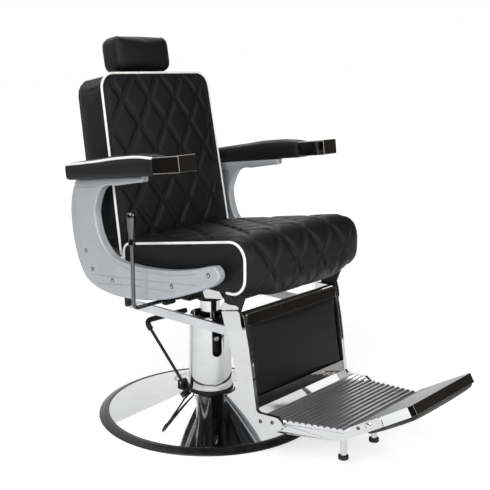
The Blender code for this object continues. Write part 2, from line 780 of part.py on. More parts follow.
arm_outer = smooth([
    (0.250, under_pad(0.250)),
    (0.265, seat + 0.222),
    (0.275, seat + 0.188),
    (0.278, seat + 0.154),
    (0.276, seat + 0.119),
    (0.271, seat + 0.084),
    (0.262, seat + 0.049),
    (0.249, seat + 0.015),
    (0.229, seat - 0.018),
    (0.213, seat - 0.034),
    (0.185, seat - 0.047),
    (0.142, seat - 0.057),
    (0.071, seat - 0.062),
    (-0.020, seat - 0.055),
    (-0.114, seat - 0.036),
    (-0.202, seat - 0.007),
    (-0.281, seat + 0.026),
    (-0.304, seat + 0.040),
    (-0.314, seat + 0.051),
    (-0.317, seat + 0.062),
    (-0.312, seat + 0.075),
    (-0.299, seat + 0.084),
])
arm_inner = smooth([
    (-0.280, seat + 0.081),
    (-0.245, seat + 0.070),
    (-0.210, seat + 0.061),
    (-0.156, seat + 0.050),
    (-0.109, seat + 0.044),
    (-0.061, seat + 0.040),
    (-0.012, seat + 0.038),
    (0.029, seat + 0.039),
    (0.060, seat + 0.041),
    (0.106, seat + 0.056),
    (0.145, seat + 0.094),
    (0.163, seat + 0.141),
    (0.165, seat + 0.180),
    (0.142, seat + 0.230),
    (0.111, seat + 0.248),
    (0.070, under_pad(0.070) - ARM_NECK),
])
arm_tip = [Vector((tip_y, under_pad(tip_y) - ARM_TIP_HEIGHT)), Vector((tip_y, under_pad(tip_y)))]
arm_outline = arm_outer + arm_inner + arm_tip
for side, word in ((-1, "right"), (1, "left")):
    place = side_view(side * (ARM_INNER + ARM_THICKNESS / 2))
    item = slab("arm_frame_" + word, arm_outline, ARM_THICKNESS, place, edge=ARM_EDGE)
    add("seat", item, "grey_paint")
    x_low, x_high = sorted((side * PAD_INNER, side * (PAD_INNER + PAD_WIDTH)))
    low = (x_low, -PAD_LENGTH, 0)
    high = (x_high, 0, PAD_THICKNESS - 0.004)
    add("seat", pad("arm_pad_" + word, low, high, PAD_ROUND, 0.004, arm_place), "leather")
    low = (x_low, -PAD_LENGTH - GAP - CAP_LENGTH, CAP_INSET)
    high = (x_high, -PAD_LENGTH - GAP, PAD_THICKNESS - 0.001)
    add("seat", box("arm_cap_" + word, low, high, arm_place, 0.003), "dark_chrome")

# Recline lever on the right: block under the front cross bar, bent rod, tapered grip and lock housing.
recline_z = seat - RECLINE_AXIS_DROP
recline_out = ARM_INNER + ARM_THICKNESS + RECLINE_CLEAR
block_x = -(recline_out + RECLINE_IN) / 2 + 0.035
block = slab(
    "lever_block",
    rounded([
        (BAR_FRONT_Y - BAR_WIDTH / 2, bar_low - GAP, 0),
        (BAR_FRONT_Y + BAR_WIDTH / 2, bar_low - GAP, 0),
        (BAR_FRONT_Y + BAR_WIDTH / 2, bar_low - LEVER_BLOCK_DROP, 0.010),
        (BAR_FRONT_Y - BAR_WIDTH / 2, bar_low - LEVER_BLOCK_DROP, 0.010),
    ]),
    LEVER_BLOCK_WIDTH,
    side_view(block_x),
    [circle(BAR_FRONT_Y, recline_z, RECLINE_RADIUS + GAP)],
)
add("seat", block, "black_steel")
lock_low = (-RECLINE_IN + GAP, BAR_FRONT_Y - 0.025, bar_low - LEVER_BLOCK_DROP)
lock_high = (-RECLINE_IN + GAP + LOCK_WIDTH, BAR_FRONT_Y + 0.025, bar_low - GAP)
add("seat", box("recline_lock", lock_low, lock_high, edge=0.003), "black_steel")
grip_low = recline_z + RECLINE_GRIP_BASE
lever_path = bend(
    (-recline_out, BAR_FRONT_Y, grip_low - GAP),
    (-recline_out, BAR_FRONT_Y, recline_z),
    (-RECLINE_IN, BAR_FRONT_Y, recline_z),
    0.018,
)
add("recline_lever", rod("recline_lever_rod", lever_path, RECLINE_RADIUS), "chrome")
grip = [
    (0, RECLINE_GRIP_LENGTH),
    (0.008, RECLINE_GRIP_LENGTH),
    (0.0115, RECLINE_GRIP_LENGTH - 0.004),
    (0.012, RECLINE_GRIP_LENGTH - 0.012),
    (0.0075, 0.004),
    (0.0065, 0),
    (0, 0),
]
grip = lathe("recline_lever_grip", grip, 20, False)
grip.location = (-recline_out, BAR_FRONT_Y, grip_low)
add("recline_lever", grip, "black_steel")

# Back: quilted front, boxed sides with a soft bulge, covered shell behind.
rings = []
for row in range(BACK_ROWS + 1):
    h = BACK_HEIGHT * row / BACK_ROWS
    share = row / BACK_ROWS
    half = BACK_HALF_LOW + (BACK_HALF_TOP - BACK_HALF_LOW) * share
    above = max(0.0, h - (BACK_HEIGHT - BACK_CORNER)) / BACK_CORNER
    below = max(0.0, BACK_CORNER / 2 - h) / (BACK_CORNER / 2)
    half -= BACK_CORNER * (1 - math.sqrt(1 - min(1, above) ** 2))
    half -= BACK_CORNER / 2 * (1 - math.sqrt(1 - min(1, below) ** 2))
    swell = BACK_CROWN * (1 - (2 * share - 1) ** 4)
    ring = []
    for step in range(25):
        v = step / 12 - 1
        edge = (1 - v ** 4) * (1 - (2 * share - 1) ** 8)
        relief = QUILT_DEPTH * (quilt(row / 6, v * 2) - QUILT_BASE) * edge ** 0.5
        ring.append(Vector((v * half, -swell * (1 - v * v) - relief, h)))
    puff = BACK_BULGE * (1 - (2 * share - 1) ** 4)
    ring.append(Vector((half + puff, BACK_THICKNESS * 0.30, h)))
    ring.append(Vector((half + puff, BACK_THICKNESS * 0.70, h)))
    for v in (1, 0, -1):
        ring.append(Vector((v * (half - 0.002), BACK_THICKNESS, h)))
    ring.append(Vector((-half - puff, BACK_THICKNESS * 0.70, h)))
    ring.append(Vector((-half - puff, BACK_THICKNESS * 0.30, h)))
    rings.append(ring)
add("back", loft("back_cushion", rings, back_place), "leather")

shell_front = BACK_THICKNESS + GAP
shell_rear = shell_front + SHELL_THICKNESS
shell_low = BACK_HALF_LOW - 0.006
shell_top = BACK_HALF_TOP - 0.006
shell_place = back_place @ Matrix.Translation((0, (shell_front + shell_rear) / 2, 0))
shell = slab(
    "back_shell",
    rounded([
        (-shell_low, 0.004, 0.022),
        (shell_low, 0.004, 0.022),
        (shell_top, BACK_HEIGHT - 0.004, BACK_CORNER),
        (-shell_top, BACK_HEIGHT - 0.004, BACK_CORNER),
    ]),
    SHELL_THICKNESS,
    shell_place @ Matrix.Rotation(math.pi / 2, 4, "X"),
)
add("back", shell, "leather")


def behind(t, h):
    """Point of the side view at depth t behind the back's front face and height h along it."""
    return (back_place @ Vector((0, t, h))).yz


hinge_face = shell_rear + GAP
low_bend = behind(hinge_face, -0.012)
high_inner = behind(hinge_face, HINGE_REACH)
high_outer = behind(hinge_face + HINGE_WIDTH * 0.7, HINGE_REACH)
low_outer = behind(hinge_face + HINGE_WIDTH, -0.034)
hinge_outline = rounded([
    (BACK_PIVOT_Y - 0.013, link_z - 0.012, 0.011),
    (BACK_PIVOT_Y + 0.013, link_z - 0.012, 0.011),
    (BACK_PIVOT_Y + 0.016, pivot_z - 0.012, 0.020),
    (low_outer.x, low_outer.y, 0.016),
    (high_outer.x, high_outer.y, 0.006),
    (high_inner.x, high_inner.y, 0.002),
    (low_bend.x, low_bend.y, 0.004),
    (BACK_PIVOT_Y - 0.016, pivot_z + 0.016, 0.010),
])
leg_top = pivot_z + 0.014
foot_rear_z = seat + FOOT_REAR[1]
side_outline = rounded([
    (LEG_PIVOT_Y + 0.039, leg_top, 0.006),
    (PANEL_TOP[0] + 0.002, leg_top, 0.010),
    (-0.340, seat - 0.146, 0),
    (-0.366, foot_rear_z + 0.008, 0.010),
    (-0.436, foot_rear_z + 0.013, 0.008),
    (-0.458, foot_rear_z - 0.001, 0.010),
    (-0.446, foot_rear_z - 0.019, 0.008),
    (-0.386, foot_rear_z - 0.052, 0.012),
    (-0.364, foot_rear_z - 0.044, 0.010),
    (-0.321, foot_rear_z + 0.014, 0.030),
    (-0.270, seat - 0.148, 0),
])
stud_length = LINK_THICKNESS + GAP + 0.002
link_outline = rounded([
    (BACK_PIVOT_Y + LINK_HEIGHT / 2, link_z - LINK_HEIGHT / 2, LINK_HEIGHT * 0.46),
    (BACK_PIVOT_Y + LINK_HEIGHT / 2, link_z + LINK_HEIGHT / 2, LINK_HEIGHT * 0.46),
    (LEG_PIVOT_Y - LINK_HEIGHT / 2, link_z + LINK_HEIGHT / 2, LINK_HEIGHT * 0.46),
    (LEG_PIVOT_Y - LINK_HEIGHT / 2, link_z - LINK_HEIGHT / 2, LINK_HEIGHT * 0.46),
])
link_holes = [
    circle(BACK_PIVOT_Y, link_z, LINK_STUD + GAP),
    circle(LEG_PIVOT_Y, link_z, LINK_STUD + LINK_PLAY),
]
for side, word in ((-1, "right"), (1, "left")):
    place = side_view(side * (bar_inner + SIDE_BAR / 2))
    stud_x = side * (bar_inner + SIDE_BAR / 4 - stud_length / 2)
    stud_span = stud_length + SIDE_BAR / 2
    arm = slab("hinge_arm_" + word, hinge_outline, SIDE_BAR, place, [rear_hole])
    stud = cylinder("stud", (stud_x, BACK_PIVOT_Y, link_z), LINK_STUD, stud_span, (1, 0, 0), 16)
    add("back", merge(arm, stud, "UNION"), "black_steel")
    bar = slab("legrest_side_" + word, side_outline, SIDE_BAR, place, [front_hole])
    stud = cylinder("stud", (stud_x, LEG_PIVOT_Y, link_z), LINK_STUD, stud_span, (1, 0, 0), 16)
    add("legrest", merge(bar, stud, "UNION"), "chrome")
    place = side_view(side * (link_inner + LINK_THICKNESS / 2))
    item = slab("link_bar_" + word, link_outline, LINK_THICKNESS, place, link_holes)
    add("link_" + word, item, "aluminium")

# Headrest: post in a socket behind the back, knuckle, plate with two lugs and a stuffed pad.
post_low = shell_rear + 0.005
post_mid = post_low + POST_THICKNESS / 2
pin_h = BACK_HEIGHT + HEAD_CLEAR + HEAD_PIN_RISE
socket_back = post_low + POST_THICKNESS + PLAY + 0.005
socket = box(
    "headrest_socket",
    (-SOCKET_HALF, hinge_face, SOCKET_BASE),
    (SOCKET_HALF, socket_back, SOCKET_BASE + SOCKET_HEIGHT),
    back_place,
)
throat = box(
    "throat",
    (-POST_HALF - PLAY, post_low - PLAY, SOCKET_BASE - 0.01),
    (POST_HALF + PLAY, post_low + POST_THICKNESS + PLAY, SOCKET_BASE + SOCKET_HEIGHT + 0.01),
    back_place,
)
add("back", merge(socket, throat, "DIFFERENCE"), "chrome")
post = box(
    "headrest_post",
    (-POST_HALF, post_low, POST_FOOT),
    (POST_HALF, post_low + POST_THICKNESS, pin_h - KNUCKLE_RADIUS * 0.8),
    back_place,
)
side_back = back_place @ side_view(0)
knuckle = slab(
    "knuckle",
    circle(post_mid, pin_h, KNUCKLE_RADIUS),
    2 * POST_HALF,
    side_back,
    [circle(post_mid, pin_h, HEAD_PIN_RADIUS + GAP)],
)
add("headrest_post", merge(post, knuckle, "UNION"), "chrome")
head_rear = post_mid - KNUCKLE_RADIUS - 0.002 - HEAD_PLATE
head_low = BACK_HEIGHT + HEAD_CLEAR
plate = box(
    "headrest_plate",
    (-HEAD_PLATE_HALF, head_rear, head_low + 0.012),
    (HEAD_PLATE_HALF, head_rear + HEAD_PLATE, head_low + HEAD_HEIGHT - 0.012),
    back_place,
)
lug_outline = rounded([
    (head_rear + HEAD_PLATE / 2, pin_h - KNUCKLE_RADIUS, 0),
    (post_mid + KNUCKLE_RADIUS, pin_h - KNUCKLE_RADIUS, KNUCKLE_RADIUS * 0.9),
    (post_mid + KNUCKLE_RADIUS, pin_h + KNUCKLE_RADIUS, KNUCKLE_RADIUS * 0.9),
    (head_rear + HEAD_PLATE / 2, pin_h + KNUCKLE_RADIUS, 0),
])
for side in (-1, 1):
    place = back_place @ side_view(side * (POST_HALF + GAP + HEAD_LUG / 2))
    plate = merge(plate, slab("lug", lug_outline, HEAD_LUG, place), "UNION")
head_pivot = back_place @ Vector((0, post_mid, pin_h))
head_pin = cylinder("pin", head_pivot, HEAD_PIN_RADIUS, 2 * (POST_HALF + HEAD_LUG), (1, 0, 0), 16)
add("headrest", merge(plate, head_pin, "UNION"), "chrome")
head_place = back_place @ Matrix.Translation((0, head_rear - GAP, head_low))
head_place = head_place @ Matrix.Rotation(math.pi / 2, 4, "X")
item = pad(
    "headrest_cushion",
    (-HEAD_HALF, 0, 0),
    (HEAD_HALF, HEAD_HEIGHT, HEAD_DEPTH - 0.006),
    HEAD_ROUND,
    0.006,
    head_place,
)
add("headrest", item, "leather")

# Legrest panel between two trims.
panel_rise = Vector((PANEL_TOP[0] - PANEL_BOTTOM[0], PANEL_TOP[1] - PANEL_BOTTOM[1]))
panel_tilt = math.atan2(panel_rise.x, panel_rise.y)
panel_place = tilted(PANEL_BOTTOM[0], seat + PANEL_BOTTOM[1], math.pi / 2 - panel_tilt)
panel_half = bar_inner - GAP
panel_top = panel_rise.length
low = (-panel_half, 0, -PANEL_THICKNESS)
high = (panel_half, TRIM_HEIGHT, 0)
add("legrest", box("legrest_trim_low", low, high, panel_place, 0.002), "dark_chrome")
low = (-panel_half, panel_top - TRIM_HEIGHT, -PANEL_THICKNESS)
high = (panel_half, panel_top, 0)
add("legrest", box("legrest_trim_top", low, high, panel_place, 0.002), "dark_chrome")
low = (-panel_half, TRIM_HEIGHT + GAP, -PANEL_THICKNESS)
high = (panel_half, panel_top - TRIM_HEIGHT - GAP, -0.003)
add("legrest", pad("legrest_panel", low, high, 0.006, 0.004, panel_place, 5), "leather")

# Ribbed foot plate on two tapered side flanges that turn up to the flip pad.


def taper(y):
    return foot_half - TAPER * (TAPER_START - max(TAPER_STOP, min(TAPER_START, y)))


def draw_in(item):
    """Narrow a piece towards the front, as the foot plate does."""
    reach = item.matrix_world.copy()
    for vert in item.data.vertices:
        spot = reach @ vert.co
        spot.x -= math.copysign(foot_half - taper(spot.y), spot.x)
        vert.co = reach.inverted() @ spot
    return item


def along_flip(s, h):
    """Point of the side view at s forward along the flip pad and h above its pivot."""
    return (flip_place @ Vector((0, -s, h))).yz


foot_rear = Vector((FOOT_REAR[0], seat + FOOT_REAR[1]))
foot_front = Vector((FOOT_FRONT[0], seat + FOOT_FRONT[1]))
foot_slope = (foot_front.y - foot_rear.y) / (foot_front.x - foot_rear.x)
half_tray = TRAY_DEPTH / 2


def tread(y):
    return foot_rear.y + (y - foot_rear.x) * foot_slope


rib = (foot_front.x - foot_rear.x) / FOOT_RIBS
profile = []
for step in range(FOOT_RIBS):
    for share, drop in ((0.05, RIB_HEIGHT), (0.2, 0), (0.7, 0), (0.85, RIB_HEIGHT)):
        y = foot_rear.x + rib * (step + share)
        profile.append(Vector((y, tread(y) - drop)))
lip_back = -TRAY_TAIL - 0.013
profile.append(along_flip(lip_back, half_tray))
profile.append(along_flip(lip_back, half_tray - FOOT_THICKNESS))
floor_drop = RIB_HEIGHT + FOOT_THICKNESS
for y in (foot_front.x, TAPER_START, foot_rear.x):
    profile.append(Vector((y, tread(y) - floor_drop)))
item = slab("foot_plate", profile, 2 * foot_half, side_view(0))
add("legrest", draw_in(item), "aluminium")


def at_stop(h):
    """Distance along the flip pad where the taper ends, at height h above the pivot."""
    return (FLIP_PIVOT[0] - TAPER_STOP + h * math.sin(FLIP_TILT)) / math.cos(FLIP_TILT)


flange = [
    (foot_rear.x - 0.010, tread(foot_rear.x - 0.010) - floor_drop - GAP, 0),
    (TAPER_START, tread(TAPER_START) - floor_drop - GAP, 0),
    (foot_front.x, tread(foot_front.x) - floor_drop - GAP, 0),
    (*along_flip(lip_back, half_tray - FOOT_THICKNESS - GAP), 0),
    (*along_flip(lip_back + GAP, half_tray - FOOT_THICKNESS - GAP), 0),
    (*along_flip(lip_back + GAP, half_tray), 0),
    (*along_flip(at_stop(half_tray), half_tray), 0),
    (*along_flip(FLIP_END, half_tray), half_tray * 0.9),
    (*along_flip(FLIP_END, -half_tray), half_tray * 0.9),
    (*along_flip(at_stop(-half_tray), -half_tray), 0),
    (*along_flip(-0.070, -half_tray), 0),
    (foot_front.x + 0.018, tread(foot_front.x + 0.018) - floor_drop - FLANGE_DEPTH + 0.004, 0),
    (TAPER_START, tread(TAPER_START) - floor_drop - FLANGE_DEPTH, 0),
    (foot_rear.x - 0.010, tread(foot_rear.x - 0.010) - floor_drop - FLANGE_DEPTH, 0),
]
flange = rounded(flange)
tray_outer = flip_half - FLANGE_THICKNESS - GAP
for side, word in ((-1, "right"), (1, "left")):
    place = side_view(side * (foot_half - FLANGE_THICKNESS / 2))
    item = draw_in(slab("foot_side_" + word, flange, FLANGE_THICKNESS, place))
    stud_length = TRAY_LUG + FLANGE_THICKNESS / 2 + GAP
    stud_x = side * (flip_half - FLANGE_THICKNESS / 2 - stud_length / 2)
    stud = cylinder("stud", (stud_x, FLIP_PIVOT[0], flip_z), FLIP_PIN_RADIUS, stud_length, (1, 0, 0), 16)
    add("legrest", merge(item, stud, "UNION"), "chrome")
    post_top = tread(STOP_Y + STOP_RADIUS) - floor_drop - GAP
    pad_low = seat - STOP_DROP
    pad_top = pad_low + STOP_PAD_HEIGHT
    post_mid_z = (post_top + pad_top + GAP) / 2
    spot = (side * STOP_HALF, STOP_Y, post_mid_z)
    item = cylinder("stop_post_" + word, spot, STOP_RADIUS, post_top - pad_top - GAP, (0, 0, 1))
    add("legrest", item, "chrome")
    spot = (side * STOP_HALF, STOP_Y, (pad_low + pad_top) / 2)
    item = cylinder("stop_pad_" + word, spot, STOP_PAD_RADIUS, STOP_PAD_HEIGHT, (0, 0, 1))
    add("legrest", item, "rubber")

# Flip pad: metal tray with two lugs on the pivot studs, padded underneath.
tray_start = -(FLIP_END + TRAY_CLEAR)
tray_front_half = flip_half - TRAY_NARROWING
flip_pad_half = tray_front_half - FLIP_PAD_INSET
tray_front = -(TRAY_LENGTH - TRAY_CORNER)
top_outline = [
    (-tray_outer, TRAY_TAIL),
    (tray_outer, TRAY_TAIL),
    (tray_outer, tray_start),
    (flip_half, tray_start),
    (tray_front_half, tray_front),
    (tray_front_half - TRAY_CORNER, -TRAY_LENGTH),
    (-tray_front_half + TRAY_CORNER, -TRAY_LENGTH),
    (-tray_front_half, tray_front),
    (-flip_half, tray_start),
    (-tray_outer, tray_start),
]
wall = TRAY_WALL
wall_outline = [
    (flip_half, tray_start),
    (tray_front_half, tray_front),
    (tray_front_half - TRAY_CORNER, -TRAY_LENGTH),
    (-tray_front_half + TRAY_CORNER, -TRAY_LENGTH),
    (-tray_front_half, tray_front),
    (-flip_half, tray_start),
    (-flip_half + wall, tray_start),
    (-tray_front_half + wall, tray_front + wall * 0.4),
    (-tray_front_half + TRAY_CORNER + wall * 0.4, -TRAY_LENGTH + wall),
    (tray_front_half - TRAY_CORNER - wall * 0.4, -TRAY_LENGTH + wall),
    (tray_front_half - wall, tray_front + wall * 0.4),
    (flip_half - wall, tray_start),
]
tray = slab("flip_tray", top_outline, wall, flip_place @ Matrix.Translation((0, 0, half_tray - wall / 2)))
tray = merge(tray, slab("walls", wall_outline, TRAY_DEPTH, flip_place), "UNION")
tray_lug = rounded([
    (half_tray, half_tray, 0),
    (half_tray, -half_tray, half_tray * 0.9),
    (tray_start - 0.010, -half_tray, 0.006),
    (tray_start - 0.010, half_tray, 0),
])
lug_hole = circle(0, 0, FLIP_PIN_RADIUS + GAP)
for side in (-1, 1):
    place = flip_place @ side_view(side * (tray_outer - TRAY_LUG / 2))
    tray = merge(tray, slab("lug", tray_lug, TRAY_LUG, place, [lug_hole]), "UNION")
add("flip_pad", tray, "aluminium")
pad_high = half_tray - wall - GAP
item = pad(
    "flip_cushion",
    (-flip_pad_half, -TRAY_LENGTH + wall + TRAY_CLEAR, pad_high - FLIP_PAD_DEPTH + FLIP_PAD_CROWN),
    (flip_pad_half, TRAY_TAIL - TRAY_CLEAR, pad_high),
    FLIP_PAD_ROUND,
    0.0,
    flip_place,
    5,
    FLIP_PAD_CROWN,
)
add("flip_pad", item, "leather")

back_link = (0, BACK_PIVOT_Y, link_z)
pivots = {
    "base": (0, 0, 0),
    "pump_lever": pin_centre,
    "ram": (0, 0, shroud_low),
    "seat": (0, 0, shoulder),
    "back": back_axis,
    "headrest_post": back_place @ Vector((0, post_mid, SOCKET_BASE)),
    "headrest": head_pivot,
    "legrest": leg_axis,
    "flip_pad": (0, FLIP_PIVOT[0], flip_z),
    "link_right": back_link,
    "link_left": back_link,
    "recline_lever": (0, BAR_FRONT_Y, recline_z),
}
for body, where in pivots.items():
    pivot("pivot_" + body, where, bodies[body])
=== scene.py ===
import json
import math

import bpy
import numpy as np
from mathutils import Matrix, Vector


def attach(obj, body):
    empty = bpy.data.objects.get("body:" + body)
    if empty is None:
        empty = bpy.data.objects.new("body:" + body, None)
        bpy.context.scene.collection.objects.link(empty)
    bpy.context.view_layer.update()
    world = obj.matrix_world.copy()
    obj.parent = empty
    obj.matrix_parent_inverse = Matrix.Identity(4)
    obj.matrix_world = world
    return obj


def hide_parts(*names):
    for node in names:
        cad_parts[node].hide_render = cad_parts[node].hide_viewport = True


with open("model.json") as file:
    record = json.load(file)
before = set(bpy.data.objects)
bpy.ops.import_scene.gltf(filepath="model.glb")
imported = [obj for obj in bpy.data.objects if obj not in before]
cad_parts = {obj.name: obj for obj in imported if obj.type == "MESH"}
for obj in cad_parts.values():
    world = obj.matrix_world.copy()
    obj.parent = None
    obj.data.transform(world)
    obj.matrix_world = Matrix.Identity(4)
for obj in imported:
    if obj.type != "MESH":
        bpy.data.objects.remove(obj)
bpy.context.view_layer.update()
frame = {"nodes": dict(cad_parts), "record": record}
print("frame loaded")
bothSides = ((-1, "Right"), (1, "Left"))


# Small helpers.
def only(*objs):
    if bpy.context.object and bpy.context.object.mode != "OBJECT":
        bpy.ops.object.mode_set(mode="OBJECT")
    bpy.ops.object.select_all(action="DESELECT")
    for obj in objs:
        obj.select_set(True)
    bpy.context.view_layer.objects.active = objs[0]
    return objs[0]


def modify(obj, kind, **settings):
    only(obj)
    modifier = obj.modifiers.new(kind.title(), kind)
    for key, value in settings.items():
        setattr(modifier, key, value)
    bpy.ops.object.modifier_apply(modifier=modifier.name)
    return obj


def edit(obj, *steps):
    only(obj)
    bpy.ops.object.mode_set(mode="EDIT")
    bpy.ops.mesh.select_all(action="SELECT")
    for step in steps:
        step()
    bpy.ops.object.mode_set(mode="OBJECT")
    return obj


def merge():
    bpy.ops.mesh.remove_doubles(threshold=1e-5)


def outwards():
    bpy.ops.mesh.normals_make_consistent(inside=False)


def subdivide(obj):
    return modify(obj, "SUBSURF", levels=1, render_levels=1)


def bevel(obj, width, segments=3, angle=30):
    limit = {"limit_method": "ANGLE", "angle_limit": math.radians(angle)}
    return modify(obj, "BEVEL", width=width, segments=segments, use_clamp_overlap=True, **limit)


def join(*objs):
    only(*objs)
    if len(objs) > 1:
        bpy.ops.object.join()
    return objs[0]


def linked(name, data):
    obj = bpy.data.objects.new(name, data)
    bpy.context.collection.objects.link(obj)
    return obj


# A new primitive, alone in the selection.
def added(operator, **settings):
    bpy.ops.object.select_all(action="DESELECT")
    operator(**settings)
    return bpy.context.object


def shapeMesh(name, points, edges=(), faces=()):
    mesh = bpy.data.meshes.new(name)
    mesh.from_pydata([tuple(point) for point in points], list(edges), list(faces))
    return only(linked(name, mesh))


# A turned piece: profile of (radius, height) points spun round the Z axis.
def turn(name, profile, steps, place=Matrix()):
    points = [(radius, 0, height) for radius, height in profile]
    edges = [(index, index + 1) for index in range(len(points) - 1)]
    obj = shapeMesh(name, points, edges)
    spin = {"steps": steps, "render_steps": steps, "angle": math.tau}
    modify(obj, "SCREW", use_merge_vertices=True, merge_threshold=1e-6, **spin)
    edit(obj, merge, outwards)
    obj.data.transform(place)
    return obj


# Straight lines through rings of points, made into a mesh with the curve's own thickness.
def traced(name, rings, closed, **settings):
    curve = bpy.data.curves.new(name, "CURVE")
    for key, value in settings.items():
        setattr(curve, key, value)
    for ring in rings:
        spline = curve.splines.new("POLY")
        spline.points.add(len(ring) - 1)
        for spot, point in zip(spline.points, ring):
            spot.co = (*point, 1)
        spline.use_cyclic_u = closed
    obj = only(linked(name, curve))
    bpy.ops.object.convert(target="MESH")
    return obj


# A tube of one radius along a line of points.
def strand(name, points, radius, closed=False, sides=4):
    tube = {"bevel_depth": radius, "bevel_resolution": sides, "use_fill_caps": True}
    obj = traced(name, [points], closed, dimensions="3D", **tube)
    return edit(obj, merge, outwards)


# A flat plate: outline (and holes) of 2D points, thickness along local Z, middle on the local XY plane.
def plate(name, outline, thickness, place=Matrix(), holes=(), edge=0.0):
    rings = [[(*point, 0) for point in ring] for ring in (outline, *holes)]
    rim = {"extrude": thickness / 2 - edge, "bevel_depth": edge, "bevel_resolution": 2, "offset": -edge}
    obj = traced(name, rings, True, dimensions="2D", fill_mode="BOTH", **rim)
    obj.data.transform(place)
    return edit(obj, merge, outwards)


# Corners (x, y, radius) rounded to a list of 2D points.
def rounded(corners, steps=8):
    points = []
    for index, (x, y, radius) in enumerate(corners):
        here = Vector((x, y))
        if radius == 0:
            points.append(here)
            continue
        before = Vector(corners[index - 1][:2])
        after = Vector(corners[(index + 1) % len(corners)][:2])
        back = (before - here).normalized()
        ahead = (after - here).normalized()
        half = back.angle(ahead) / 2
        reach = radius / math.tan(half)
        middle = here + (back + ahead).normalized() * radius / math.sin(half)
        start = here + back * reach - middle
        sweep = start.angle_signed(here + ahead * reach - middle)
        for step in range(steps + 1):
            turned = start.copy()
            turned.rotate(Matrix.Rotation(-sweep * step / steps, 2))
            points.append(middle + turned)
    return points


# Points on a smooth curve through the given ones.
def smooth(points, steps=6, closed=False):
    spots = [Vector(point) for point in points]
    if closed:
        spots = [spots[-1]] + spots + spots[:2]
    else:
        spots = [2 * spots[0] - spots[1]] + spots + [2 * spots[-1] - spots[-2]]
    curve = []
    for a, b, c, d in zip(spots, spots[1:], spots[2:], spots[3:]):
        for step in range(steps):
            t = step / steps
            square = (2 * a - 5 * b + 4 * c - d) * t**2
            cube = (3 * b - a - 3 * c + d) * t**3
            curve.append(0.5 * (2 * b + (c - a) * t + square + cube))
    if not closed:
        curve.append(spots[-2])
    return curve


# Points round a middle, from one angle to another, in degrees.
def arc(middle, radius, start, end, steps):
    turns = [math.radians(start + (end - start) * step / steps) for step in range(steps + 1)]
    return [(middle[0] + radius * math.cos(a), middle[1] + radius * math.sin(a)) for a in turns]


# Local X to world Y and local Y to world Z, in the side plane at one x.
def sideView(x):
    return Matrix(((0, 0, 1, x), (1, 0, 0, 0), (0, 1, 0, 0), (0, 0, 0, 1)))


def shift(x, y, z):
    return Matrix.Translation((x, y, z))


# Local Z pointing away from the middle on one side.
def outwardAt(side, x, y, z):
    return shift(x, y, z) @ Matrix.Rotation(side * math.pi / 2, 4, "Y")


def tilted(y, z, angle):
    return shift(0, y, z) @ Matrix.Rotation(angle, 4, "X")


# Gives a finished mesh its name, look and body.
def place(obj, name, look, body, *nodes, slot=None, angle=35):
    only(obj)
    bpy.ops.object.transform_apply(location=True, rotation=True, scale=True)
    obj.name = name
    obj.data.name = name
    obj.data.materials.clear()
    obj.data.materials.append(looks[look])
    bpy.ops.object.shade_smooth_by_angle(angle=math.radians(angle))
    if look != "leather":
        modify(obj, "WEIGHTED_NORMAL", keep_sharp=True)
    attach(obj, body)
    slot or slotOf[look]
    if nodes:
        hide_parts(*nodes)
    return obj


# A CAD node's own shape with its edges rounded off.
def soften(node, width=0.0012, segments=3):
    obj = linked(node + "Soft", frame["nodes"][node].data.copy())
    edit(obj, merge, lambda: bpy.ops.mesh.dissolve_limited(angle_limit=math.radians(1)))
    return bevel(obj, width, segments)


def cut(body, cutter):
    modify(body, "BOOLEAN", operation="DIFFERENCE", object=cutter, solver="EXACT")
    bpy.data.objects.remove(cutter)


# Materials.
class Value:
    def __init__(self, tree, socket):
        self.tree = tree
        self.socket = socket

    def node(self, kind, inputs=None, out=0, **settings):
        node = self.tree.nodes.new("ShaderNode" + kind)
        for key, value in settings.items():
            setattr(node, key, value)
        for key, value in (inputs or {}).items():
            if isinstance(value, Value):
                self.tree.links.new(value.socket, node.inputs[key])
            else:
                node.inputs[key].default_value = value
        return Value(self.tree, node.outputs[out])

    def math(self, operation, first, second=0.0):
        return self.node("Math", {0: first, 1: second}, operation=operation)

    def __add__(self, other):
        return self.math("ADD", self, other)

    def __mul__(self, other):
        return self.math("MULTIPLY", self, other)

    __radd__ = __add__
    __rmul__ = __mul__

    def between(self, low, high):
        return self.node("MapRange", {0: self, 1: low, 2: high}, interpolation_type="SMOOTHSTEP")

    def mix(self, first, second):
        return self.node("Mix", {0: self, 6: (*first, 1), 7: (*second, 1)}, out=2, data_type="RGBA")


class Look:
    def __init__(self, name, **constants):
        self.material = bpy.data.materials.new(name)
        self.material.use_nodes = True
        self.tree = self.material.node_tree
        self.shader = self.tree.nodes["Principled BSDF"]
        coordinates = self.tree.nodes.new("ShaderNodeTexCoord")
        self.spot = Value(self.tree, coordinates.outputs["Object"])
        for key, value in constants.items():
            self.shader.inputs[key.replace("_", " ")].default_value = value

    def noise(self, scale, detail=3.0, rough=0.5, stretch=None):
        spot = self.spot.node("Mapping", {"Vector": self.spot, "Scale": stretch}) if stretch else self.spot
        inputs = {"Vector": spot, "Scale": scale, "Detail": detail, "Roughness": rough}
        return self.spot.node("TexNoise", inputs)

    def cells(self, scale, feature):
        return self.spot.node("TexVoronoi", {"Vector": self.spot, "Scale": scale}, feature=feature)

    def wire(self, name, value):
        self.tree.links.new(value.socket, self.shader.inputs[name])

    def bump(self, height, distance, strength=1.0):
        inputs = {"Height": height, "Distance": distance, "Strength": strength}
        self.wire("Normal", self.spot.node("Bump", inputs))


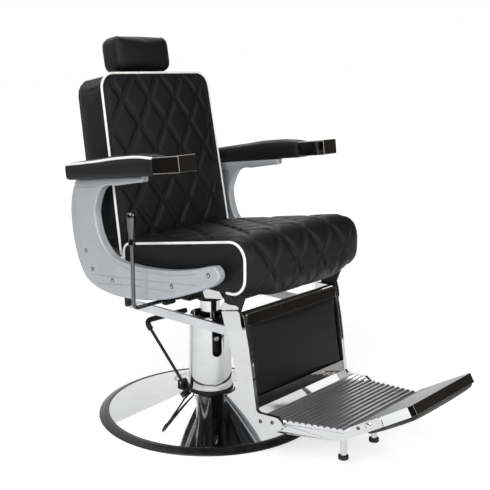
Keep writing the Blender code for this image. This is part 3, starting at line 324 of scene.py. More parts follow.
def leatherLook():
    setting = {"grain": 620, "pores": 1500, "wear": 14, "depth": 0.00035}
    shades = (0.0052, 0.0054, 0.006), (0.01, 0.0104, 0.0112)
    look = Look("leather", IOR=1.45, Specular_IOR_Level=0.24)
    grain = look.cells(setting["grain"], "DISTANCE_TO_EDGE").between(0.0, 0.28)
    pores = look.noise(setting["pores"], 2.0)
    wear = look.noise(setting["wear"], 5.0, 0.6)
    look.wire("Base Color", (0.65 * wear + 0.35 * grain).mix(*shades))
    look.wire("Roughness", 0.34 + 0.14 * wear + 0.05 * pores)
    look.bump(grain + 0.35 * pores, setting["depth"], 0.32)
    return look.material


def metalLook(name, bright, dull, rough, haze=0.07):
    look = Look(name, Metallic=1.0)
    smear = look.noise(7, 6.0, 0.7, (1.0, 1.0, 2.6))
    film = look.noise(55, 3.0)
    look.wire("Base Color", smear.between(0.25, 0.8).mix(bright, dull))
    look.wire("Roughness", rough + haze * smear * film)
    look.bump(look.noise(11, 2.0), 0.0008, 0.06)
    return look.material


# A broad stain in the colour and a fine grain in the relief. One of the two sets the roughness.
def finishLook(name, stain, grain, span, shades, rough, bump, by="stain", flakes=None, **constants):
    look = Look(name, **constants)
    noises = {"stain": look.noise(*stain), "grain": look.noise(*grain)}
    look.wire("Base Color", noises["stain"].between(*span).mix(*shades))
    look.wire("Roughness", rough[0] + rough[1] * noises[by])
    if flakes:
        look.wire("Metallic", flakes[0] + flakes[1] * look.noise(*flakes[2:]))
    look.bump(noises["grain"], *bump)
    return look.material


finishes = {
    "piping": {
        "stain": (38, 4.0, 0.65), "grain": (900, 2.0), "span": (0.3, 0.8), "rough": (0.36, 0.15),
        "shades": [(0.86, 0.85, 0.83), (0.72, 0.71, 0.68)],
        "bump": (0.0003, 0.25), "Specular_IOR_Level": 0.4,
    },
    "greyPaint": {
        "stain": (16, 4.0, 0.6), "grain": (420, 2.0), "span": (0.25, 0.75), "rough": (0.3, 0.14),
        "shades": [(0.375, 0.395, 0.415), (0.415, 0.435, 0.455)],
        "bump": (0.0005, 0.1), "flakes": (0.12, 0.16, 1400, 1.0), "Specular_IOR_Level": 0.42,
    },
    "rubber": {
        "stain": (26, 5.0, 0.65), "grain": (1100, 2.0), "span": (0.35, 0.85), "rough": (0.5, 0.18),
        "shades": [(0.012, 0.012, 0.013), (0.0252, 0.0252, 0.0273)],
        "bump": (0.0004, 0.28), "Specular_IOR_Level": 0.35,
    },
    "glossRubber": {
        "stain": (26, 5.0, 0.65), "grain": (1100, 2.0), "span": (0.35, 0.85), "rough": (0.14, 0.18),
        "shades": [(0.01, 0.01, 0.011), (0.021, 0.021, 0.0231)],
        "bump": (0.0004, 0.28), "Specular_IOR_Level": 0.35,
    },
    "aluminium": {
        "stain": (9, 4.0), "grain": (60, 4.0, 0.7, (1.0, 26.0, 26.0)), "span": (0.3, 0.8),
        "shades": [(0.74, 0.75, 0.77), (0.6, 0.61, 0.63)],
        "rough": (0.24, 0.16), "by": "grain", "bump": (0.0004, 0.12), "Metallic": 1.0,
    },
    "satin": {
        "stain": (12, 4.0), "grain": (900, 3.0), "span": (0.3, 0.8),
        "shades": [(0.5, 0.515, 0.525), (0.42, 0.435, 0.445)],
        "rough": (0.42, 0.14), "by": "grain", "bump": (0.0004, 0.25), "Metallic": 1.0,
    },
    "blackSteel": {
        "stain": (30, 6.0, 0.7), "grain": (380, 2.0), "span": (0.45, 0.85), "rough": (0.3, 0.2),
        "shades": [(0.01, 0.01, 0.011), (0.026, 0.026, 0.028)],
        "bump": (0.0005, 0.2), "Specular_IOR_Level": 0.24,
    },
}
looks = {name: finishLook(name, **finish) for name, finish in finishes.items()}
looks["leather"] = leatherLook()
looks["chrome"] = metalLook("chrome", (0.68, 0.685, 0.69), (0.6, 0.605, 0.61), 0.03)
looks["mirror"] = metalLook("darkMirror", (0.3, 0.29, 0.275), (0.23, 0.222, 0.21), 0.04)
# A darker copy of the chrome: painted shade and painted dark reflection for the recline lever and the rivets.
# The lever grip is dark itself too.
looks["shadedChrome"] = metalLook("chromePaintedShade", (0.14, 0.142, 0.146), (0.1, 0.102, 0.105), 0.08)
looks["zinc"] = metalLook("zincBolt", (0.62, 0.62, 0.61), (0.45, 0.45, 0.45), 0.2, 0.25)
slotOf = {
    "leather": "leather", "piping": "leather", "chrome": "chrome", "mirror": "dark_chrome",
    "shadedChrome": "chrome", "zinc": "chrome", "greyPaint": "grey_paint", "rubber": "rubber",
    "glossRubber": "rubber", "aluminium": "aluminium", "blackSteel": "black_steel",
}
print("materials ready")


# Cushions. Diamonds lie between double seams; the grid has the same cells to a diamond both ways,
# so that every seam runs through grid points.
quilting = {
    "cells": 28, "seam": 2 / 28, "onSeam": 0.004, "strip": 0.0012, "diamond": 0.0052,
    "shoulder": 0.11, "fullness": 2.4,
}


# Height of the quilting at a and b in diamond pitches, and whether the point lies on a seam.
def quilt(a, b):
    off = np.minimum(abs(a + b - np.round(a + b)), abs(a - b - np.round(a - b)))
    inside = np.clip((off - quilting["seam"]) / quilting["shoulder"], 0, 1)
    diamond = quilting["diamond"] * (1 - (1 - inside) ** quilting["fullness"])
    strip = quilting["strip"] * (1 - np.minimum(off / quilting["seam"], 1) ** 2)
    onSeam = abs(off - quilting["seam"]) < quilting["onSeam"]
    return np.where(off > quilting["seam"], diamond, strip), onSeam


# Faces between rows of points that each go once round, with the two ends filled by their last rows.
def skin(name, rows):
    count = len(rows[0])
    points = [point for row in rows for point in row]
    faces = []
    for row in range(len(rows) - 1):
        for step in range(count):
            ahead = (step + 1) % count
            low, high = row * count, (row + 1) * count
            faces.append((low + step, low + ahead, high + ahead, high + step))
    faces.append(tuple(range(count)))
    faces.append(tuple(range(len(points) - 1, len(points) - 1 - count, -1)))
    obj = shapeMesh(name, points, faces=faces)
    return edit(obj, outwards)


swelling = {"frames": 16, "quality": 4, "bending": 2}


# Cloth pressure swells a cover that is held at its seams; no point moves further than the cap.
def inflate(obj, held, pressure, cap):
    group = obj.vertex_groups.new(name="held")
    group.add([int(index) for index in held], 1.0, "REPLACE")
    before = np.array([vert.co for vert in obj.data.vertices])
    only(obj)
    cloth = obj.modifiers.new("Cloth", "CLOTH")
    settings = cloth.settings
    settings.quality = swelling["quality"]
    settings.use_pressure = True
    settings.uniform_pressure_force = pressure
    settings.vertex_group_mass = group.name
    settings.effector_weights.gravity = 0
    settings.bending_stiffness = swelling["bending"]
    cloth.collision_settings.use_collision = False
    cloth.point_cache.frame_end = swelling["frames"]
    for step in range(1, swelling["frames"] + 1):
        bpy.context.scene.frame_set(step)
    bpy.ops.object.modifier_apply(modifier=cloth.name)
    moved = np.array([vert.co for vert in obj.data.vertices]) - before
    length = np.linalg.norm(moved, axis=1, keepdims=True) + 1e-9
    capped = before + moved * np.minimum(1, cap / length)
    obj.data.vertices.foreach_set("co", capped.ravel())
    obj.vertex_groups.clear()
    bpy.context.scene.frame_set(1)
    print(obj.name, "swelled by", round(float(length.max()) * 1000, 1), "mm at most before the cap")


# Distance along an outline to each of its points.
def lengthsOf(outline):
    return np.append(0, np.cumsum(np.linalg.norm(np.diff(outline, axis=0), axis=1)))


# Points on a 2D outline at the given distances along it, with their outward normals.
def along(outline, stops, near=0.003):
    lengths = lengthsOf(outline)
    spots = np.stack([np.interp(stops, lengths, outline[:, axis]) for axis in (0, 1)], 1)
    pairs = np.clip(stops[:, None] + np.array((-near, near)), 0, lengths[-1])
    ends = np.stack([np.interp(pairs, lengths, outline[:, axis]) for axis in (0, 1)], 2)
    way = ends[:, 1] - ends[:, 0]
    way /= np.linalg.norm(way, axis=1, keepdims=True)
    return spots, np.stack([way[:, 1], -way[:, 0]], 1)


seat = {
    "half": 0.242, "rear": 0.112, "front": -0.366, "bottom": 0.462, "topRear": 0.545,
    "topFront": 0.617, "rearRound": 0.034, "frontRound": 0.052, "lowRound": 0.004,
    "undercut": 0.006, "cornerSteps": 16, "underSteps": 26, "pitchX": 0.105, "pitchY": 0.15,
    "crown": 0.008, "bulge": 0.0065, "piping": 0.0036, "pipingEnd": 0.03, "pipingProud": 0.0005,
    "roll": 0.026, "setBack": 0.007,
    "sag": [(-0.11, 0), (-0.0817, 0.003), (-0.0545, 0.0125), (-0.0272, 0.0214), (0, 0.01), (0.025, 0)],
    "sagFlat": 0.1, "sagEnd": 0.24, "fadeRear": 0.03, "fadeLow": 0.02, "fadeFront": 0.04,
    "panelRings": (0.93, 0.84, 0.72, 0.58, 0.42, 0.26, 0.12), "panelDrop": 0.02,
    "swell": (3.0, 0.0035),
}


def seatOutline():
    corners = [
        (seat["rear"] - seat["undercut"], seat["bottom"], seat["lowRound"]),
        (seat["rear"], seat["topRear"], seat["rearRound"]),
        (seat["front"], seat["topFront"], seat["frontRound"]),
        (seat["front"], seat["bottom"], seat["frontRound"]),
    ]
    steps = seat["cornerSteps"]
    points = rounded(corners, steps)
    return np.array([tuple(point) for point in points[steps:] + points[: steps + 1]])


def buildSeat():
    half = seat["half"]
    outline = seatOutline()
    lengths = lengthsOf(outline)
    under = lengths[-seat["cornerSteps"] - 2]
    cells = round(under / seat["pitchY"] * quilting["cells"])
    pitch = under / cells * quilting["cells"]
    below = np.linspace(under, lengths[-1], seat["underSteps"])[1:-1]
    stops = np.append(np.linspace(0, under, cells + 1), below)
    spots, normals = along(outline, stops)
    step = seat["pitchX"] / quilting["cells"]
    count = int(half / step)
    across = np.arange(-count, count + 1) * step
    across = np.concatenate(([-half], across, [half]))
    rear = (stops - seat["fadeRear"]) / seat["fadeRear"]
    front = (under - stops - seat["fadeLow"]) / seat["fadeFront"]
    fade = np.clip(np.minimum(rear, front), 0, 1)
    lip = np.interp(stops - under, *zip(*seat["sag"]))
    rim = spots - normals * seat["setBack"]
    rows = []
    held = []
    for x in across:
        edge = 1 - abs(x / half) ** 6
        past = max(0, abs(x) - half + seat["roll"]) / seat["roll"]
        tuck = seat["setBack"] * (1 - math.sqrt(max(0, 1 - past * past)))
        out = min(1, max(0, (abs(x) - seat["sagFlat"]) / (seat["sagEnd"] - seat["sagFlat"])))
        droop = lip * (1 - out * out * (3 - 2 * out))
        rise, seam = quilt(stops / pitch, np.full_like(stops, x / seat["pitchX"] + 0.5))
        lift = fade * (seat["crown"] * (1 - abs(x / half) ** 4) + rise * edge**0.5)
        ring = spots + normals * (lift + droop - tuck)[:, None]
        rows.append([(x, y, z) for y, z in ring])
        held.extend(seam | (fade < 0.05) | (edge < 0.02))
    height = (seat["bottom"] + seat["topFront"]) / 2 - seat["panelDrop"]
    middle = np.array(((seat["rear"] + seat["front"]) / 2, height))
    panels = []
    for share in seat["panelRings"]:
        out = half + seat["bulge"] * (1 - share**4)
        panels.append((out, middle + (rim - middle) * share))
    near = [[(-out, y, z) for y, z in ring] for out, ring in reversed(panels)]
    far = [[(out, y, z) for y, z in ring] for out, ring in panels]
    held = [False] * (len(stops) * len(near)) + held + [False] * (len(stops) * len(far))
    obj = skin("seatCushion", near + rows + far)
    inflate(obj, np.nonzero(held)[0], *seat["swell"])
    subdivide(obj)
    place(obj, "seatCushion", "leather", "seat", "seat_cushion", angle=70)
    tubes = []
    for side in (-1, 1):
        shown = (rim + normals * seat["pipingProud"])[stops < under + seat["pipingEnd"]]
        line = [(side * (half - seat["pipingProud"]), y, z) for y, z in shown]
        tubes.append(strand("piping", line, seat["piping"]))
    place(join(*tubes), "seatPiping", "piping", "seat", angle=60)


buildSeat()
print("seat cushion done")

back = {
    "place": tilted(0.128, 0.49, math.radians(-9.65)),
    "height": 0.5315, "thickness": 0.11, "halfLow": 0.229, "halfTop": 0.214, "corner": 0.046,
    "crown": 0.012, "bulge": 0.007, "bulgePower": 0.7, "across": 4, "border": 4, "up": 3.5,
    "sideSteps": 14, "rearSteps": 25, "piping": 0.0036, "pipingIn": 0.001, "swell": (3.0, 0.0035),
}


# Half width of the back at a share of its height, with its corners rounded.
def backHalf(share):
    corner = back["corner"]
    height = share * back["height"]
    half = back["halfLow"] + (back["halfTop"] - back["halfLow"]) * share
    above = max(0.0, height - (back["height"] - corner)) / corner
    below = max(0.0, corner / 2 - height) / (corner / 2)
    half -= corner * (1 - math.sqrt(1 - min(1, above) ** 2))
    half -= corner / 2 * (1 - math.sqrt(1 - min(1, below) ** 2))
    return half


def buildBack():
    cells = quilting["cells"]
    columns = back["across"] * cells
    rowCount = int(back["up"] * cells)
    reach = columns // 2 + back["border"]
    v = np.arange(-reach, reach + 1) / (columns / 2)
    sides = np.linspace(0, 1, back["sideSteps"])[1:-1]
    rows = []
    held = []
    for row in range(rowCount + 1):
        share = row / rowCount
        half = backHalf(share)
        upright = 1 - (2 * share - 1) ** 8
        rise, seam = quilt(np.full_like(v, row / cells), v * back["across"] / 2 + 0.5)
        rim = np.clip((1 - v**10) * upright, 0, 1) ** 0.5
        u = v / v[-1]
        depth = -back["crown"] * (1 - (2 * share - 1) ** 4) * (1 - u * u) - rise * rim
        height = share * back["height"]
        ring = [(x * half, t, height) for x, t in zip(u, depth)]
        puff = back["bulge"] * (1 - (2 * share - 1) ** 4)
        swell = puff * np.sin(math.pi * sides) ** back["bulgePower"]
        flank = [(half + out, back["thickness"] * t, height) for out, t in zip(swell, sides)]
        rear = [(x * half, back["thickness"], height) for x in np.linspace(1, -1, back["rearSteps"])]
        rows.append(ring + flank + rear + [(-x, y, z) for x, y, z in flank[::-1]])
        held.extend(seam | (rim < 0.1) | (abs(v) > 0.999))
        held.extend([False] * len(flank) + [True] * len(rear) + [False] * len(flank))
    obj = skin("backCushion", rows)
    inflate(obj, np.nonzero(held)[0], *back["swell"])
    subdivide(obj)
    obj.data.transform(back["place"])
    place(obj, "backCushion", "leather", "back", "back_cushion", angle=70)
    corners = [
        (-back["halfLow"], 0, back["corner"] / 2),
        (back["halfLow"], 0, back["corner"] / 2),
        (back["halfTop"], back["height"], back["corner"]),
        (-back["halfTop"], back["height"], back["corner"]),
    ]
    line = [back["place"] @ Vector((x, back["pipingIn"], height)) for x, height in rounded(corners, 12)]
    piping = strand("piping", line, back["piping"], closed=True)
    place(piping, "backPiping", "piping", "back", angle=60)


buildBack()
print("back cushion done")


# Stretches a mesh to fill a box again after smoothing.
def fill(obj, low, high):
    spots = np.array([vert.co for vert in obj.data.vertices])
    least, most = spots.min(0), spots.max(0)
    spots = np.array(low) + (spots - least) / (most - least) * (np.array(high) - np.array(low))
    obj.data.vertices.foreach_set("co", spots.ravel())


# A stuffed block between two corners: rounded, crowned on each axis, then swelled as cloth. One side, which
# is an axis and a direction, stays flat and is held.
def stuffed(name, low, high, placeAt, pad):
    low, high = Vector(low), Vector(high)
    crown, flat = pad["crown"], pad["flat"]
    size = high - low
    middle = (low + high) / 2
    obj = added(bpy.ops.mesh.primitive_cube_add, size=1)
    obj.name = name
    obj.data.transform(Matrix.Translation(middle) @ Matrix.Diagonal((*size, 1)))
    modify(obj, "BEVEL", width=pad["round"], segments=5, limit_method="NONE")
    modify(obj, "REMESH", mode="VOXEL", voxel_size=pad["voxel"])
    for vert in obj.data.vertices:
        spot = [(vert.co[axis] - middle[axis]) / (size[axis] / 2) for axis in range(3)]
        for axis, rise in enumerate(crown):
            one, two = [spot[other] for other in range(3) if other != axis]
            full = max(0, 1 - one**2) * max(0, 1 - two**2)
            if (axis, math.copysign(1, spot[axis])) != flat:
                vert.co[axis] += rise * math.copysign(min(1, abs(spot[axis])) ** 3, spot[axis]) * full
    modify(obj, "SMOOTH", factor=0.5, iterations=4)
    ends = [[low[axis] - crown[axis] for axis in range(3)], [high[axis] + crown[axis] for axis in range(3)]]
    axis, way = flat
    ends[way > 0][axis] = (low, high)[way > 0][axis]
    fill(obj, *ends)
    held = [v.index for v in obj.data.vertices if way * (v.co[axis] - middle[axis]) > 0.4 * size[axis]]
    inflate(obj, held, *pad["swell"])
    subdivide(obj)
    obj.data.transform(placeAt)
    return obj


arm = {
    "place": tilted(0.248, 0.716, math.radians(-6.76)),
    "inner": 0.264, "width": 0.065, "length": 0.374, "round": 0.009, "crown": (0, 0, 0.004),
    "flat": (2, -1), "voxel": 0.004, "swell": (2.0, 0.0015),
    "arch": [(-0.374, 0.0475), (-0.345, 0.052), (-0.295, 0.055), (-0.2165, 0.054)]
    + [(-0.147, 0.05), (-0.076, 0.048), (0, 0.0465)],
    "piping": 0.0036, "pipingIn": 0.0035, "pipingDrop": 0.0025, "pipingStart": 0.72,
    "rearTurn": 0.008, "frontTurn": 0.006,
}


# Height of the pad's outer top edge along the arm.
def archAt(y):
    return float(np.interp(y, *zip(*arm["arch"])))


def buildArmPad(side, word):
    outer = arm["inner"] + arm["width"]
    length = arm["length"]
    near, far = sorted((side * arm["inner"], side * outer))
    level = archAt(0)
    pad = stuffed("armPad", (near, -length, 0), (far, 0, level), Matrix(), arm)
    for vert in pad.data.vertices:
        vert.co.z *= archAt(vert.co.y) / level
    pad.data.transform(arm["place"])
    place(pad, "armPad" + word, "leather", "seat", "arm_pad_" + word.lower(), angle=70)
    edge = side * (outer - arm["pipingIn"])
    start = side * (arm["inner"] + arm["width"] * arm["pipingStart"])
    line = [(start, -0.001, level), (edge - side * arm["rearTurn"], -0.001, level)]
    line += [(edge, stop, archAt(stop)) for stop in np.linspace(-0.012, -length + 0.01, 12)]
    line.append((edge - side * arm["frontTurn"], -length + 0.003, archAt(-length)))
    line = smooth([(x, y, z - arm["pipingDrop"]) for x, y, z in line], 6)
    piping = strand("piping", [arm["place"] @ point for point in line], arm["piping"])
    place(piping, "armPiping" + word, "piping", "seat", angle=60)


for side, word in bothSides:
    buildArmPad(side, word)

head = {
    "half": 0.107, "height": 0.105, "round": 0.022, "crown": (0.001, 0.005, 0.001), "flat": (1, 1),
    "voxel": 0.006, "swell": (3.0, 0.003), "clear": 0.0135, "front": 0.01, "rear": 0.008,
    "seamX": 0.087, "seam": 0.0016,
}


# A welt round a cushion where an upright plane across it meets its cover.
def welt(pad, x, radius):
    only(pad)
    bpy.ops.object.duplicate()
    ring = bpy.context.object
    section = {"plane_co": (x, 0, 0), "plane_no": (1, 0, 0), "clear_inner": True, "clear_outer": True}
    edit(ring, lambda: bpy.ops.mesh.bisect(**section))
    bpy.ops.object.convert(target="CURVE")
    ring = bpy.context.object
    ring.data.bevel_depth = radius
    ring.data.bevel_resolution = 2
    bpy.ops.object.convert(target="MESH")
    return edit(bpy.context.object, merge, outwards)


def buildHeadrest():
    base = back["height"] + head["clear"]
    turned = back["place"] @ shift(0, 0, base)
    local = back["place"].inverted()
    spots = [local @ vert.co for vert in frame["nodes"]["headrest_cushion"].data.vertices]
    front = min(spot.y for spot in spots)
    rear = max(spot.y for spot in spots)
    out, thick, up = head["crown"]
    low = (-head["half"] + out, front + thick - head["front"], up)
    high = (head["half"] - out, rear + head["rear"], head["height"] - up)
    pad = stuffed("headrest", low, high, turned, head)
    welts = [welt(pad, side * head["seamX"], head["seam"]) for side in (-1, 1)]
    place(pad, "headrestCushion", "leather", "headrest", "headrest_cushion", angle=70)
    place(join(*welts), "headrestWelts", "leather", "headrest", angle=70)


buildHeadrest()

leg = {
    "panel": tilted(-0.36, 0.157, math.radians(90 - 8.7)),
    "half": 0.1917, "length": 0.251, "trim": 0.03, "tuck": 0.004, "thickness": 0.022,
    "round": 0.005, "crown": (0, 0, 0.004), "flat": (2, -1), "voxel": 0.005, "swell": (2.0, 0.0025),
}


def buildLegPanel():
    low = (-leg["half"], leg["trim"] - leg["tuck"], -leg["thickness"])
    high = (leg["half"], leg["length"] - leg["trim"] + leg["tuck"], -leg["crown"][2])
    pad = stuffed("legPanel", low, high, leg["panel"], leg)
    place(pad, "legrestPanel", "leather", "legrest", "legrest_panel", angle=70)


buildLegPanel()

flip = {
    "place": tilted(-0.683, 0.193, math.radians(-31)),
    "half": 0.1445, "front": -0.1255, "rear": 0.032, "top": 0.0097, "depth": 0.032, "round": 0.01,
    "crown": (0, 0, 0.006), "flat": (2, 1), "voxel": 0.005, "swell": (2.0, 0.002),
}


def buildFlipPad():
    low = (-flip["half"], flip["front"], flip["top"] - flip["depth"])
    high = (flip["half"], flip["rear"], flip["top"])
    pad = stuffed("flipCushion", low, high, flip["place"], flip)
    place(pad, "flipCushion", "leather", "flip_pad", "flip_cushion", angle=70)


buildFlipPad()
print("pads done")


# Base: floor ring, dish, shroud and ram, all turned.
base = {
    "radius": 0.341, "ringWidth": 0.03, "ringHeight": 0.0138, "ringRound": 0.0025, "dishSteps": 48,
    "rim": 0.0125, "rimSlope": 0.158, "neckSlope": 0.29, "neck": 0.0735, "socket": 0.0675,
    "shroudLow": 0.0756, "shroudTop": 0.3056, "shroudFoot": 0.067, "shroudHead": 0.061,
    "wall": 0.003, "slotWidth": 0.03, "slotDepth": 0.122,
    "slotTurn": math.radians(26.5),
    "slotRound": 0.96, "boltDrop": 0.066, "boltRadius": 0.0085, "cylinder": 0.046,
}
ram = {"low": 0.0936, "shoulder": 0.3486, "top": 0.4366, "radius": 0.03, "neck": 0.022, "edge": 0.0015}


def buildBase():
    outer = base["radius"]
    inner = outer - base["ringWidth"]
    top = base["ringHeight"]
    curl = base["ringRound"]
    slope = [(inner + curl, top), (inner + 0.011, top - 0.0018)]
    slope += [(outer - 0.009, top - 0.006), (outer - 0.001, 0.0035)]
    ring = [tuple(point) for point in smooth(slope, 6)]
    ring += [(outer, 0.0015), (outer - 0.001, 0), (inner, 0)]
    ring += arc((inner + curl, top - curl), curl, 180, 100, 4)
    ring.append(ring[0])
    place(turn("ring", ring, 160), "baseRing", "glossRubber", "base", "base_ring")
    edge = inner - 0.0003
    span = edge - base["neck"]
    dish = [(0, base["socket"]), (base["neck"] - 0.002, base["socket"])]
    for step in range(base["dishSteps"] + 1):
        out = step / base["dishSteps"]
        run = span * (1 - out)
        steeper = (base["neckSlope"] - base["rimSlope"]) * (1 - out) / 2
        dish.append((edge - run, base["rim"] + run * (base["rimSlope"] + steeper)))
    dish += [(edge, base["rim"] - 0.006), (edge, 0), (0, 0)]
    place(turn("dish", dish, 160), "baseDish", "chrome", "base", "base_dish", angle=50)


def buildShroud():
    low, top = base["shroudLow"], base["shroudTop"]
    foot, crown, wall = base["shroudFoot"], base["shroudHead"], base["wall"]
    profile = [(crown - wall, top - 0.004)]
    profile += arc((crown - wall / 2, top - wall / 2), wall / 2, 180, 0, 8)
    profile += [(crown + 0.0008, top - 0.005), (foot - 0.0012, low + 0.012)]
    profile += [(foot, low + 0.008), (foot, low + 0.0015), (foot - 0.0015, low), (foot - wall, low)]
    profile.append(profile[0])
    shroud = turn("shroud", profile, 128)
    facing = Matrix.Rotation(-base["slotTurn"], 4, "Z")
    half = base["slotWidth"] / 2
    floor = top - base["slotDepth"]
    corner = half * base["slotRound"]
    corners = [(-half, top + 0.02, 0), (half, top + 0.02, 0), (half, floor, corner), (-half, floor, corner)]
    upright = shift(0, -foot, 0) @ Matrix.Rotation(math.pi / 2, 4, "X")
    cut(shroud, plate("slot", rounded(corners, 14), foot, facing @ upright))
    edit(shroud, merge)
    bevel(shroud, 0.0007, 2, 40)
    place(shroud, "columnShroud", "chrome", "base", "column_shroud", angle=40)
    length = crown - base["cylinder"] - 0.0023
    across = facing @ shift(0, -base["cylinder"] - 0.0003, top - base["boltDrop"])
    across = across @ Matrix.Rotation(math.pi / 2, 4, "X")
    wide = base["boltRadius"]
    head = [(0, 0), (wide, 0), (wide, length - 0.002), (wide - 0.0007, length - 0.0006)]
    head += [(wide - 0.003, length), (wide - 0.004, length - 0.0015), (0, length - 0.0015)]
    place(turn("bolt", head, 40, across), "columnBolt", "zinc", "base", "column_bolt")


def buildRam():
    step = ram["shoulder"]
    profile = [(0, ram["top"]), (ram["neck"], ram["top"]), (ram["neck"], step)]
    profile += [(ram["radius"] - ram["edge"], step), (ram["radius"], step - ram["edge"])]
    profile += [(ram["radius"], ram["low"]), (0, ram["low"])]
    place(turn("ram", profile, 64), "ramRod", "chrome", "ram", "ram")


buildBase()
buildShroud()
buildRam()
print("base done")


# Arm castings: the outline with soft edges, panel lines in the outer face, a hollow inside, and screws.
# Points are y and height above the seat bottom.
casting = {
    "inner": 0.265, "thickness": 0.027, "edge": 0.0055, "groove": 0.002, "padY": 0.248,
    "padZ": 0.254, "padGap": 0.0003, "tipY": -0.0384,
    "slope": math.tan(math.radians(6.76)),
    "pocket": 0.01, "valley": 0.0024, "valleyRadius": 0.032, "valleyY": -0.04,
    "valleySpan": (0.38, 0.56), "noseY": -0.3165, "noseLean": 0.0015, "noseSpan": (0.5125, 0.5265),
    "noseSlot": 0.0026, "boltY": -0.023, "boltDrop": 0.0155,
}


# Height of the casting's top edge just below the pad.
def underPad(y):
    return casting["padZ"] + (casting["padY"] - y) * casting["slope"] - casting["padGap"]


def armOutline():
    outer = [(0.25, underPad(0.25)), (0.265, 0.222), (0.275, 0.188), (0.278, 0.154), (0.276, 0.119)]
    outer += [(0.271, 0.084), (0.262, 0.049), (0.249, 0.015), (0.229, -0.018), (0.213, -0.034)]
    outer += [(0.185, -0.047), (0.142, -0.057), (0.071, -0.062), (-0.02, -0.055), (-0.114, -0.036)]
    outer += [(-0.202, -0.007), (-0.281, 0.026), (-0.304, 0.04), (-0.314, 0.051), (-0.317, 0.062)]
    outer += [(-0.312, 0.075), (-0.299, 0.084)]
    inner = [(-0.28, 0.081), (-0.245, 0.07), (-0.21, 0.061), (-0.156, 0.05), (-0.109, 0.044)]
    inner += [(-0.061, 0.04), (-0.012, 0.038), (0.029, 0.039), (0.06, 0.041), (0.106, 0.056)]
    inner += [(0.145, 0.094), (0.163, 0.141), (0.165, 0.18), (0.142, 0.23), (0.111, 0.248)]
    inner.append((0.07, underPad(0.07) - 0.023))
    tip = casting["tipY"]
    end = [Vector((tip, underPad(tip) - 0.016)), Vector((tip, underPad(tip)))]
    return [(y, z + seat["bottom"]) for y, z in smooth(outer, 8) + smooth(inner, 8) + end]


armLines = {
    "rearEdge": [(0.243, 0.228), (0.2545, 0.186), (0.251, 0.129), (0.236, 0.074), (0.209, 0.021)]
    + [(0.19, -0.013)],
    "topShort": [(0.238, 0.232), (0.195, 0.237), (0.151, 0.2425)],
    "innerEdge": [(0.134, 0.238), (0.162, 0.205), (0.172, 0.165), (0.165, 0.12), (0.146, 0.083)]
    + [(0.112, 0.051), (0.071, 0.033), (0.023, 0.0265), (-0.034, 0.027)],
    "upper": [(-0.044, 0.029), (-0.138, 0.0345), (-0.188, 0.043), (-0.239, 0.055)],
    "middle": [(0.189, -0.015), (0.009, 0), (-0.137, 0.014), (-0.245, 0.026)],
    "lower": [(0.158, -0.0385), (0.01, -0.019), (-0.16, -0.0075)],
}
armScrews = [(0.212, 0.051), (0.184, 0.0005), (0.097, -0.018), (-0.1466, 0.0065), (-0.2814, 0.059)]
fixings = {
    "screw": [(0, -0.001), (0.0043, -0.001), (0.0043, 0.0006), (0.0038, 0.0014), (0.0024, 0.0019)]
    + [(0.002, -0.0002), (0, -0.0002)],
    # A black ring round each screw head: painted shade standing in for the countersink round it.
    "washer": [(0.004, -0.001), (0.0062, -0.001), (0.0062, 0.0004), (0.004, 0.0004), (0.004, -0.001)],
    "shank": [(0, 0.006), (0.0062, 0.006), (0.0062, -0.0008), (0.0048, -0.0024), (0, -0.0024)],
}
armPocket = [(0.232, 0.228), (0.17, 0.2345), (0.172, 0.195), (0.1735, 0.165), (0.168, 0.125), (0.15, 0.088)]
armPocket += [(0.113, 0.052), (0.06, 0.035), (0.06, 0.005), (0.12, -0.012), (0.19, 0.012), (0.236, 0.08)]
armPocket += [(0.252, 0.15), (0.25, 0.19)]


def buildArm(side, word):
    outerFace = side * (casting["inner"] + casting["thickness"])
    middle = side * (casting["inner"] + casting["thickness"] / 2)
    level = seat["bottom"]
    body = plate("arm", armOutline(), casting["thickness"], sideView(middle), edge=casting["edge"])
    for line in armLines.values():
        points = [(outerFace, y, z + level) for y, z in smooth(line, 8)]
        cut(body, strand("groove", points, casting["groove"], sides=1))
    pocket = [(y, z + level) for y, z in smooth(armPocket, 4, True)]
    cut(body, plate("pocket", pocket, 2 * casting["pocket"], sideView(side * casting["inner"])))
    axis = outerFace + side * (casting["valleyRadius"] - casting["valley"])
    wide = casting["valleyRadius"]
    low, high = casting["valleySpan"]
    post = [(0, low), (wide, low), (wide, high), (0, high)]
    cut(body, turn("valley", post, 256, shift(axis, casting["valleyY"], 0)))
    low, high = casting["noseSpan"]
    slot = [(middle, casting["noseY"] + casting["noseLean"], low), (middle, casting["noseY"], high)]
    cut(body, strand("slot", slot, casting["noseSlot"], sides=2))
    edit(body, merge)
    node = "arm_frame_" + word.lower()
    place(body, "armCasting" + word, "greyPaint", "seat", node, angle=40)
    screws = []
    washers = []
    for y, z in armScrews:
        turned = outwardAt(side, outerFace, y, z + level)
        screws.append(turn("screw", fixings["screw"], 24, turned))
        washers.append(turn("washer", fixings["washer"], 24, turned))
    # The black rings round the screw heads are painted countersink shade.
    place(join(*washers), "armShadeRings" + word, "blackSteel", "seat")
    under = level + underPad(casting["boltY"]) - casting["boltDrop"]
    at = shift(middle, casting["boltY"], under)
    screws.append(turn("bolt", fixings["shank"], 6, at))
    place(join(*screws), "armScrews" + word, "zinc", "seat")


for side, word in bothSides:
    buildArm(side, word)
print("arms done")


# Legrest: ribbed foot plate, screw heads, trims, plates by the front pivots and the flip tray.
foot = {
    "rear": (-0.373, 0.143), "front": (-0.618, 0.168), "ribs": 14, "ribHeight": 0.0042,
    "ribShares": (0.05, 0.07, 0.11, 0.17, 0.26, 0.36, 0.48, 0.6, 0.7, 0.77, 0.82, 0.85),
    "ribMiddle": 0.45, "ribHalf": 0.4, "ribPower": 3.2, "thickness": 0.006, "half": 0.1917,
    "taperStart": -0.45, "taperStop": -0.66, "taper": 0.1446, "lipBack": 0.047,
    "trayDepth": 0.025,
}


